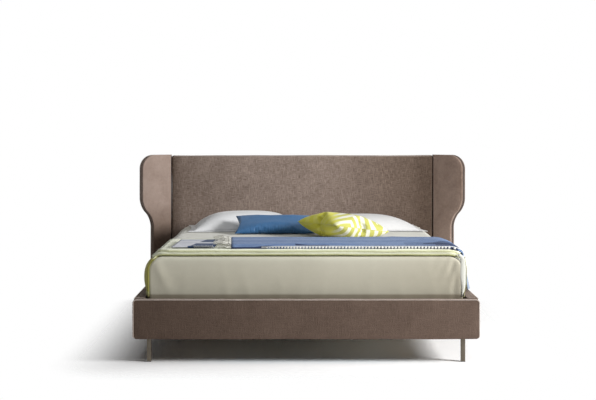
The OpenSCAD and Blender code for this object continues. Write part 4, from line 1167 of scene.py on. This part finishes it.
def fold_sheet(name, left, right, nose, centre, seed, cloth, cord_cloth):
    length = fold_back - fold_front - nose[0]
    bend = math.pi * nose[0]
    total = 2 * length + bend

    def place(s, t):
        y, off = fold_section(t, length, nose, centre)
        near = 1 - smooth_step((y - fold_front) / 0.10)
        sway = 0.0011 * drift(s * 4.0, seed, y * 2)
        sway += 0.0012 * near * drift(s * 9, seed, 0)
        x, z = drape(s, off + sway)
        end = 1 - smooth_step(min(s - left, right - s) / 0.05)
        y += near * (0.004 * drift(s * 3, seed + 5, 0) + 0.012 * end)
        return Vector((x, y, z - end_drop(y) * 0.2 * near))

    across = steps_between(left, right, 0.014)
    flat_part = steps_between(0, length - 0.09, 0.03) + steps_between(length - 0.08, length - 0.008, 0.012)
    along = flat_part + steps_between(length, length + bend, nose[0] * 0.35)
    along += [total - t for t in reversed(flat_part)]
    shape = cloth_grid(across, along, place)
    bmesh.ops.reverse_faces(shape, faces=shape.faces[:])
    piece = finish_piece(name, shape, cloth, "mattress_set", ["coverlet_fold"])
    thicken(piece, 0.0040)
    front = [place(s, length + bend * 0.78) + Vector((0, -0.0022, -0.0016)) for s in across]
    cord = welt(name + "_cord", [front], 0.0010, cord_cloth, "mattress_set")


fold_sheet("coverlet_fold_lower", -0.781, 0.785, (0.0085, 0.0045), (0.0132, 0.0160), 2.0, fold_cloths_painted_light[0],
           lime_cord)
fold_sheet("coverlet_fold_upper", -0.750, 0.775, (0.0062, 0.0040), (0.0288, 0.0272), 8.0, fold_cloths_painted_light[1],
           pale_cord)


# Blue throw
# A soft woven wool throw with tonal stripes. It lies across the foot of the bed
# and falls in loose folds over the right side, with a white cord and small white
# knots along its front, and a fringe at its left end. Navy along its front edge is
# painted shadow under the edge, and navy lines behind it are painted shade of its pleats.
throw_left, throw_right = -0.412, 0.9734
throw_front, throw_back = -0.990, -0.400
throw_width = throw_back - throw_front


def throw_place(s, t):
    hang = hanging(s) if s > 0 else 0.0
    near_side = smooth_step((s - 0.35) / 0.35)
    d = t - throw_front
    middle = (throw_front + throw_back) / 2
    down = smooth_step((s - side_start) / 0.11)
    y = middle + (t - middle) * (1 - 0.14 * hang)
    y -= 0.018 * (1 - smooth_step(d / 0.08)) * (1 - down)
    y += 0.150 * down * (1 - smooth_step(d / 0.45))
    lip = max(0.0, 0.022 - d) * (1 - down)
    off = 0.0427 + 0.0066 * (1 - smooth_step(d / 0.07)) * (1 - down)
    off -= smooth_step((s - 0.775) / 0.045) * 0.027
    off += 0.0016 * (1 + drift(s * 3.0, t * 9.0, 3.0))
    # A pleat that starts at the front left corner, and five that run together at the right shoulder
    pleat = 0.012 + 0.075 * smooth_step((s - throw_left) / 0.45)
    pleated = smooth_step((d - pleat) / 0.014) * (1 - smooth_step((d - pleat - 0.03) / 0.08))
    off += 0.0085 * pleated * (1 - smooth_step((s - 0.18) / 0.16))
    for k in range(5):
        at = 0.055 + 0.085 * k + (0.10 + 0.13 * k) * (0.80 - s)
        off += near_side * (1 - 0.5 * down) * 0.0065 * ridge(d - at, 0.013)
    folds = 0.5 + 0.5 * math.sin(d / throw_width * 2 * math.pi * 3.5 + 3.6 * s + 0.6)
    off += hang * (0.014 * folds ** 1.5 + 0.012 * smooth_step((s - 0.84) / 0.06))
    if s > side_start:
        off = max(off, coverlet_rise(s, y) + 0.0095)
    x, z = drape(s, off)
    flare = max(0.0, s - drape_flat - drape_turn)
    end = 0.030 * (1 - d / throw_width) * (1 - smooth_step((s - throw_left) / 0.5))
    sway = 0.010 * near_side * math.sin(s * 5) * (1 if t < middle else 0.4) * (1 - down)
    return Vector((x + flare * 0.20 + end, y + lip * 0.25 + sway, z - lip * 0.56))


throw_cloth = cloth_material("blue_wool", (0.102, 0.162, 0.300), (0.162, 0.238, 0.402), coords="UV", patch=14,
                             contrast=0.7, pitch=3200, bump=0.0011, roughness=0.9, sheen=0.12,
                             sheen_tint=(0.85, 0.9, 1.0, 1))
navy = (0.014, 0.026, 0.070)
pale_blue = (0.23, 0.30, 0.46)
pale_side = (0.27, 0.31, 0.37)
# Navy painted along the front edge is painted shadow under the edge. The navy patches just behind it, from
# the left to the middle, are painted shade of the front pleat, and the navy patches at the right shoulder are
# painted shade of its folds. The pale and navy bands that run the whole width are tonal stripes.
add_bands(throw_cloth, [
    (-2, -0.22, -0.996, -0.981, navy, 0.95), (-0.20, 0.35, -0.996, -0.976, navy, 0.5),
    (0.35, 0.76, -0.996, -0.970, navy, 0.95), (-0.14, -0.05, -0.968, -0.940, navy, 0.6),
    (-0.06, 0.12, -0.970, -0.900, navy, 0.9), (0.12, 0.17, -0.968, -0.920, navy, 0.8),
    (0.17, 0.22, -0.966, -0.935, navy, 0.6), (-2, 0.3, -0.86, -0.84, navy, 0.25),
    (-2, 2, -0.80, -0.75, pale_blue, 0.4), (-2, 2, -0.68, -0.665, navy, 0.2),
    (-2, 2, -0.60, -0.52, pale_blue, 0.45), (-2, 2, -0.47, -0.455, pale_blue, 0.5),
    (0.45, 2, -0.950, -0.935, navy, 0.5), (0.55, 2, -0.905, -0.885, navy, 0.75),
    (0.62, 0.82, -0.850, -0.820, navy, 0.8), (0.67, 0.80, -0.950, -0.790, navy, 0.85),
    (0.66, 0.82, -0.770, -0.740, navy, 0.6), (0.52, 0.82, -0.965, -0.74, navy, 0.30),
    (0.85, 2, -2, 2, pale_side, 0.75),
])
# A slanting navy line near the front at the left: painted shadow under the edge of the pleat.
add_bands(throw_cloth, [(4.615, 4.665, -0.991, -0.969, navy, 0.9)], skew=-5.0)
throw_across = steps_between(throw_left, 0.70, 0.014) + steps_between(0.709, throw_right, 0.0085)
throw_along = steps_between(throw_front, throw_front + 0.030, 0.003)
throw_along += steps_between(throw_front + 0.035, throw_back, 0.0062)
shape = cloth_grid(throw_across, throw_along, throw_place)
throw = finish_piece("blue_throw_cloth", shape, throw_cloth, "mattress_set", ["blue_throw"])
thicken(throw, 0.0050)

white_yarn = cloth_material("white_yarn", (0.62, 0.62, 0.58), (0.80, 0.80, 0.77), patch=40, pitch=6000,
                            bump=0.0006, sheen=0.3)
# Besides the yarn's own uneven tone, the dark end of its range is painted shade between the fringe's strands.
cream_yarn = cloth_material("cream_yarn", (0.34, 0.33, 0.29), (0.84, 0.83, 0.76), patch=34, contrast=1.6,
                            pitch=4000, bump=0.0008, sheen=0.3)
edge_cord = []
for s in steps_between(-0.250, 0.785, 0.0100):
    sunk = 0.0045 * (1 - smooth_step((s + 0.250) / 0.12))
    edge_cord.append(throw_place(s, throw_front) + Vector((0, -0.0034 + sunk, 0.0114 - sunk)))
picot = welt("blue_throw_edging", [edge_cord], 0.0019, white_yarn, "mattress_set", resolution=1)
shells = bmesh.new()
for s in steps_between(-0.220, 0.748, 0.0170):
    at = throw_place(s, throw_front) + Vector((0, -0.0040, 0.0052))
    full = 0.45 + 0.55 * smooth_step((s + 0.22) / 0.16)
    shell_size = Matrix.Diagonal((0.0064 * full, 0.0022, 0.0056 * full, 1))
    bmesh.ops.create_icosphere(shells, subdivisions=2, radius=1, matrix=Matrix.Translation(at) @ shell_size)
shell_piece = finish_piece("blue_throw_picots", shells, white_yarn, "mattress_set")

fringe = bmesh.new()
for t in steps_between(throw_front + 0.006, throw_back - 0.006, 0.0092):
    start = throw_place(throw_left, t)
    length = 0.084 + random.uniform(-0.024, 0.016)
    turn = random.uniform(-0.14, 0.14)
    lift = random.uniform(0.0, 0.007)
    strand = []
    for i in range(9):
        u = i / 8
        rise = 0.0060 * smooth_step((u * length - 0.022) / 0.020) + lift * math.sin(u * math.pi)
        rise += 0.0008 * math.sin(i * 2.1) - 0.0012 * u
        aside = turn * u * length + 0.0016 * math.sin(i * 1.7 + t * 90)
        strand.append(start + Vector((-u * length, aside, rise)))
    take_in(fringe, tube_mesh(strand, 0.0026, taper=lambda u: 1.1 - 0.55 * u, resolution=1))
    knot = Matrix.Translation(strand[1] + Vector((0, 0, 0.001)))
    bmesh.ops.create_icosphere(fringe, subdivisions=1, radius=0.0038, matrix=knot)
fringe_piece = finish_piece("blue_throw_fringe", fringe, cream_yarn, "mattress_set")


# Striped throw
# The end of a second throw, folded double: lavender grey at the left, navy at the
# right, and a white zigzag braid along the right part of its front.
striped_left, striped_right = -0.690, -0.475
striped_front, striped_back = -0.990, -0.570
striped_cloth = cloth_material("striped_wool", (0.014, 0.030, 0.078), (0.034, 0.060, 0.130), coords="UV",
                               patch=14, contrast=0.6, pitch=3200, bump=0.0010, roughness=0.9, sheen=0.08)
striped_nose = 0.0025
striped_length = striped_back - striped_front - striped_nose
striped_bend = math.pi * striped_nose


def striped_place(s, t):
    if t < striped_length:
        y, off = striped_back - t, striped_nose
    elif t < striped_length + striped_bend:
        a = (t - striped_length) / striped_nose
        y, off = striped_front + striped_nose * (1 - math.sin(a)), striped_nose * math.cos(a)
    else:
        y, off = striped_front + striped_nose + (t - striped_length - striped_bend), -striped_nose
    near = 1 - smooth_step((y - striped_front) / 0.06)
    off += 0.0432 + 0.0030 * near + 0.0012 * drift(s * 8, y * 7, 5)
    x, z = drape(s, off)
    return Vector((x + 0.03 * (y - striped_front), y, z))


striped_along = steps_between(0, striped_length, 0.014)
striped_along += steps_between(striped_length + 0.001, striped_length + 0.0068, 0.0012)
striped_along += steps_between(striped_length + 0.00786, 2 * striped_length + 0.00785, 0.014)
shape = cloth_grid(steps_between(striped_left, striped_right, 0.0108), striped_along, striped_place)
bmesh.ops.reverse_faces(shape, faces=shape.faces[:])
lavender = (0.58, 0.59, 0.64)
mid_blue = (0.10, 0.16, 0.31)
grey_blue = (0.25, 0.28, 0.38)
add_bands(striped_cloth, [
    (-0.80, -0.3, 0.170, 0.235, lavender, 0.95), (-0.80, -0.548, -0.1, 0.9, lavender, 1.0),
    (-0.80, -0.55, 0.385, 0.405, mid_blue, 0.8), (-0.80, -0.55, 0.03, 0.06, mid_blue, 0.6),
    (-0.80, -0.55, 0.20, 0.215, grey_blue, 0.7),
], skew=0.14)
striped = finish_piece("striped_throw_cloth", shape, striped_cloth, "mattress_set",
                       ["striped_throw"])
thicken(striped, 0.0030)
braid_line = []
for i, s in enumerate(steps_between(-0.575, striped_right, 0.0052)):
    zigzag = Vector((0, -0.0032, 0.0008 + 0.0048 * (-1) ** i))
    braid_line.append(striped_place(s, striped_length + 0.003) + zigzag)
braid = welt("striped_throw_braid", [braid_line], 0.0015, white_yarn, "mattress_set",
             resolution=1)


# Pillows
# Two plain white cotton pillowcases with soft down pillows inside, loosely filled,
# so that their undersides lie flat. A flat border with a stitched hem runs round.
# The pillowcases darken from left to right in painted shade.
pillow_cotton = cloth_material("white_cotton", (0.70, 0.71, 0.72), (0.84, 0.85, 0.86), coords="UV", patch=5,
                               contrast=0.5, pitch=9000, bump=0.0002, roughness=0.85, sheen=0.15, soft=0.003,
                               painted_shade=[("X", [(-0.6, 0.96), (-0.3, 1.0), (0.0, 0.92), (0.35, 0.87),
                                           (0.8, 0.83)])])


def bag_mesh(wide, deep, thick, cells, corner, crown, drawn, power):
    """A sewn bag, lightly filled: two crowned faces that meet in a seam with rounded corners"""
    shape = bmesh.new()
    for face_side in (1, -1):
        layer = bmesh.new()
        bmesh.ops.create_grid(layer, x_segments=cells[0], y_segments=cells[1], size=1)
        for vertex in layer.verts:
            u, v = vertex.co.x, vertex.co.y
            full = max(0.0, (1 - abs(u) ** power) * (1 - v ** 4)) ** crown
            a, b = 1 - corner * v * v * u * u * abs(v), 1 - corner * u * u * v * v * abs(u)
            a -= drawn * (1 - v * v) * u ** 6
            b -= drawn * (1 - u * u) * v ** 6
            vertex.co = (u * a * wide / 2, v * b * deep / 2, face_side * full * thick / 2)
        if face_side < 0:
            bmesh.ops.reverse_faces(layer, faces=layer.faces[:])
        take_in(shape, mesh_data("layer", layer))
    bmesh.ops.remove_doubles(shape, verts=shape.verts[:], dist=1e-5)

    def flat_place(face, vertex):
        shift = wide if face.calc_center_median().z < 0 else 0
        return vertex.co.x + shift, vertex.co.y

    lay_flat(shape, flat_place)
    return shape


def inflate(shape, pressure, frames, bending):
    """Lets a bag swell as cloth, and gives back its mesh at the last frame"""
    data = mesh_data("bag", shape)
    bag = placed("bag", data)
    cloth = bag.modifiers.new("cloth", "CLOTH")
    given = cloth.settings
    given.quality = 6
    given.mass = 0.3
    given.tension_stiffness = given.compression_stiffness = 12.0
    given.shear_stiffness = 6.0
    given.bending_stiffness = bending
    given.use_pressure = True
    given.uniform_pressure_force = pressure
    given.effector_weights.gravity = 0
    cloth.point_cache.frame_start, cloth.point_cache.frame_end = 1, frames
    for f in range(1, frames + 1):
        scene.frame_set(f)
    swollen = evaluated_mesh(bag)
    scene.frame_set(1)
    bpy.data.objects.remove(bag)
    bpy.data.meshes.remove(data)
    found = bmesh.new()
    take_in(found, swollen)
    return found


def fit_to(shape, size):
    """Centres a mesh and scales it to a size"""
    for i in range(3):
        low = min(v.co[i] for v in shape.verts)
        high = max(v.co[i] for v in shape.verts)
        for vertex in shape.verts:
            vertex.co[i] = (vertex.co[i] - (low + high) / 2) * size[i] / (high - low)


def rest_on(shape, level):
    """Flattens what would sink below a level, as the underside of a cushion that lies there"""
    give = 0.012
    for vertex in shape.verts:
        below = level + give - vertex.co.z
        if below > 0:
            vertex.co.z = level + give * math.exp(-below / give)


def chain_of(edges):
    """The vertices of a closed ring of edges, in order"""
    ring = set(edges)
    start = edges[0]
    found, at, last = [start.verts[0]], start.verts[1], start
    while at != found[0]:
        found.append(at)
        step = [e for e in at.link_edges if e in ring and e != last][0]
        last, at = step, step.other_vert(at)
    return found


def ring_round(shape, wide):
    """The seam where the two faces of a bag meet: their flat measures lie far apart there"""
    uv = shape.loops.layers.uv.active
    seam = []
    for edge in shape.edges:
        if len(edge.link_faces) == 2:
            centre = [sum(loop[uv].uv.x for loop in f.loops) / len(f.loops) for f in edge.link_faces]
            if abs(centre[0] - centre[1]) > wide * 0.5:
                seam.append(edge)
    return chain_of(seam)


def at_place(x, y, z, turn=0.0, tilt=0.0, roll=0.0):
    turned = Matrix.Identity(4)
    for angle, axis in ((turn, "Z"), (tilt, "X"), (roll, "Y")):
        turned = turned @ Matrix.Rotation(math.radians(angle), 4, axis)
    return Matrix.Translation((x, y, z)) @ turned


bed_top = 0.5453


def stuffed(node, part, size, cells, place, material, cord, pressure, frames, start, crown,
            corner, bending=0.6, drawn=0.0, power=4.0, underside=1.0):
    """A filled bag that lies on the bed, with a cord round its seam; gives back the seam's line"""
    depth = size[2] * start
    shape = bag_mesh(size[0], size[1], depth, cells, corner, crown, drawn, power)
    shape = inflate(shape, pressure, frames, bending)
    fit_to(shape, size)
    for vertex in shape.verts:
        vertex.co.z *= 1.0 if vertex.co.z > 0 else underside
    ring = ring_round(shape, size[0])
    bmesh.ops.transform(shape, matrix=place, verts=shape.verts)
    rest_on(shape, bed_top)
    line = [v.co.copy() for v in ring]
    piece = finish_piece(f"{node}_{part}", shape, material, node, [node])
    welt(f"{node}_seam", [line], cord, material, node, closed=True, resolution=1)
    return line


def pillow_border(name, line, place, size, wide, body):
    """The flat border of a pillowcase, from the seam round its filling out to a stitched hem"""
    shape = bmesh.new()
    back = place.inverted()
    rows = []
    flat = {}
    for k in range(6):
        share = k / 5
        row = []
        for seam_point in line:
            q = back @ seam_point
            q.x *= 1 + share * wide * 2 / size[0]
            q.y *= 1 + share * wide * 2 / size[1]
            spot = place @ q
            wave = 0.0016 * (1 + drift(q.x * 11, q.y * 11, 2)) * share
            spot.z = seam_point.z + (bed_top + 0.0014 - seam_point.z) * smooth_step(share * 1.6) + wave
            vertex = shape.verts.new(spot)
            flat[vertex] = (q.x, q.y)
            row.append(vertex)
        rows.append(row)
    for inner, outer in zip(rows, rows[1:]):
        for i in range(len(line)):
            j = (i + 1) % len(line)
            shape.faces.new((inner[i], inner[j], outer[j], outer[i]))
    lay_flat(shape, lambda face, vertex: flat[vertex])
    if sum(f.normal.z * f.calc_area() for f in shape.faces) < 0:
        bmesh.ops.reverse_faces(shape, faces=shape.faces[:])
    hem = [v.co + Vector((0, 0, 0.0004)) for v in rows[-1]]
    piece = finish_piece(name, shape, pillow_cotton, body)
    thicken(piece, 0.0018)
    cord = welt(name + "_hem", [hem], 0.0013, pillow_cotton, body, closed=True, resolution=1)


for node, size, x, crown, power in (
    ("pillow_left", (0.690, 0.470, 0.222), -0.360, 1.0, 3.4),
    ("pillow_right", (0.706, 0.470, 0.180), 0.376, 1.05, 2.9),
):
    low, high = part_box(node)
    place = at_place(x, (low.y + high.y) / 2, bed_top + 0.004, turn=4)
    line = stuffed(node, "case", size, (92, 60), place, pillow_cotton, 0.0012,
                   pressure=1.2, frames=9, start=0.95, bending=2.0, corner=0.0, crown=crown, power=power,
                   drawn=0.03, underside=0.10)
    pillow_border(f"{node}_border", line, place, size, 0.032, node)


# Blue cushion
# A long cushion in blue satin with a hidden zip, filled full. It leans back on
# the left pillow, so that its lower edge lies on the coverlet.
blue_satin = cloth_material("blue_satin", (0.024, 0.089, 0.203), (0.046, 0.142, 0.300), coords="UV", patch=7,
                            contrast=0.5, pitch=9000, bump=0.00015, roughness=0.42, sheen=0.12,
                            sheen_tint=(0.7, 0.85, 1.0, 1), soft=0.003)
tree = blue_satin.node_tree
at = place_in(tree, "UV")
normal = node_of(tree, "BsdfPrincipled").inputs["Normal"]
# Fine puckers run in from the long seams
drawn = add_node(tree, "Mapping", {"Vector": at, "Scale": (62, 9, 1)}).outputs[0]
puckers = cloud(tree, drawn, 1.0, Distortion=0.6)
near = remap(tree, math_node(tree, "ABSOLUTE", axes_of(tree, at)["Y"]), 0.02, 0.105)
link(tree, bump_node(tree, times(tree, puckers, near), 0.006, 0.8, normal.links[0].from_socket), normal)
blue_low, blue_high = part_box("blue_cushion")
middle = (blue_low + blue_high) / 2
place = at_place(middle.x + 0.016, middle.y, bed_top + 0.052, tilt=24)
stuffed("blue_cushion", "cover", (0.488, 0.228, 0.084), (74, 36), place, blue_satin,
        0.0016, pressure=4.0, frames=14, start=0.75, crown=0.5, corner=0.0, drawn=0.030)


# Lime cushion
# A square feather cushion in a cotton print of curved lime and white bands. One
# corner points to the foot of the bed; another lies up on the blue cushion.
lime_print = cloth_material("lime_print", (0.46, 0.455, 0.105), (0.57, 0.56, 0.155), coords="UV", patch=8,
                            contrast=0.5, pitch=8000, bump=0.0002, roughness=0.8, sheen=0.15, soft=0.003)
bands_group, given, result = make_group("curved_bands", {"Pitch": 0.05, "Width": 0.5}, ["Mask"])
tree = bands_group
rings = []
for centre, stretch in (
    ((0.115, -0.150, 0.0), (1.0, 0.62, 0.0)),
    ((-0.150, 0.020, 0.0), (0.6, 1.0, 0.0)),
    ((0.12, 0.16, 0.0), (1.0, 0.7, 0.0)),
):
    away = vector_node(tree, "MULTIPLY", vector_node(tree, "SUBTRACT", given["Vector"], centre), stretch)
    rings.append(vector_node(tree, "LENGTH", away))
nearest = math_node(tree, "MINIMUM", math_node(tree, "MINIMUM", rings[0], rings[1]), rings[2])
nearest = plus(tree, nearest, times(tree, cloud(tree, given["Vector"], 5.0, 1.0), 0.035))
turns = math_node(tree, "DIVIDE", nearest, given["Pitch"])
wave = math_node(tree, "SINE", times(tree, turns, 2 * math.pi))
edge = times(tree, plus(tree, given["Width"], -0.5), 2.0)
link(tree, remap(tree, plus(tree, wave, edge), -0.12, 0.12), result["Mask"])

tree = lime_print.node_tree
shade = node_of(tree, "BsdfPrincipled").inputs["Base Color"]
at = place_in(tree, "UV")
printed = place_group(tree, bands_group, at, {"Pitch": 0.050, "Width": 0.44})["Mask"]
# Painted light and shade on the side turned from the lamp: there the colour is mixed towards a bright deep
# lime, and the white of the print is faded out
x, y, _ = axes_of(tree, at)
side = math_node(tree, "MULTIPLY_ADD", y, -0.67, math_node(tree, "WRAP", x, -0.2025, 0.2025))
side = remap(tree, side, -0.085, -0.03, 0.10, 1.0)
painted_light_share = math_node(tree, "MULTIPLY_ADD", side, -0.65, 0.65)
plain = mix_colour(tree, painted_light_share, shade.links[0].from_socket, (0.82, 0.78, 0.07))
link(tree, mix_colour(tree, times(tree, printed, side), plain, (0.76, 0.76, 0.66)), shade)
lime_low, lime_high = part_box("lime_cushion")
middle = (lime_low + lime_high) / 2
place = at_place(middle.x + 0.013, middle.y, bed_top + 0.060, turn=34, roll=8)
stuffed("lime_cushion", "cover", (0.405, 0.405, 0.158), (54, 54), place, lime_print,
        0.0016, pressure=5.0, frames=18, start=0.65, bending=0.9, corner=0.09, crown=0.55)
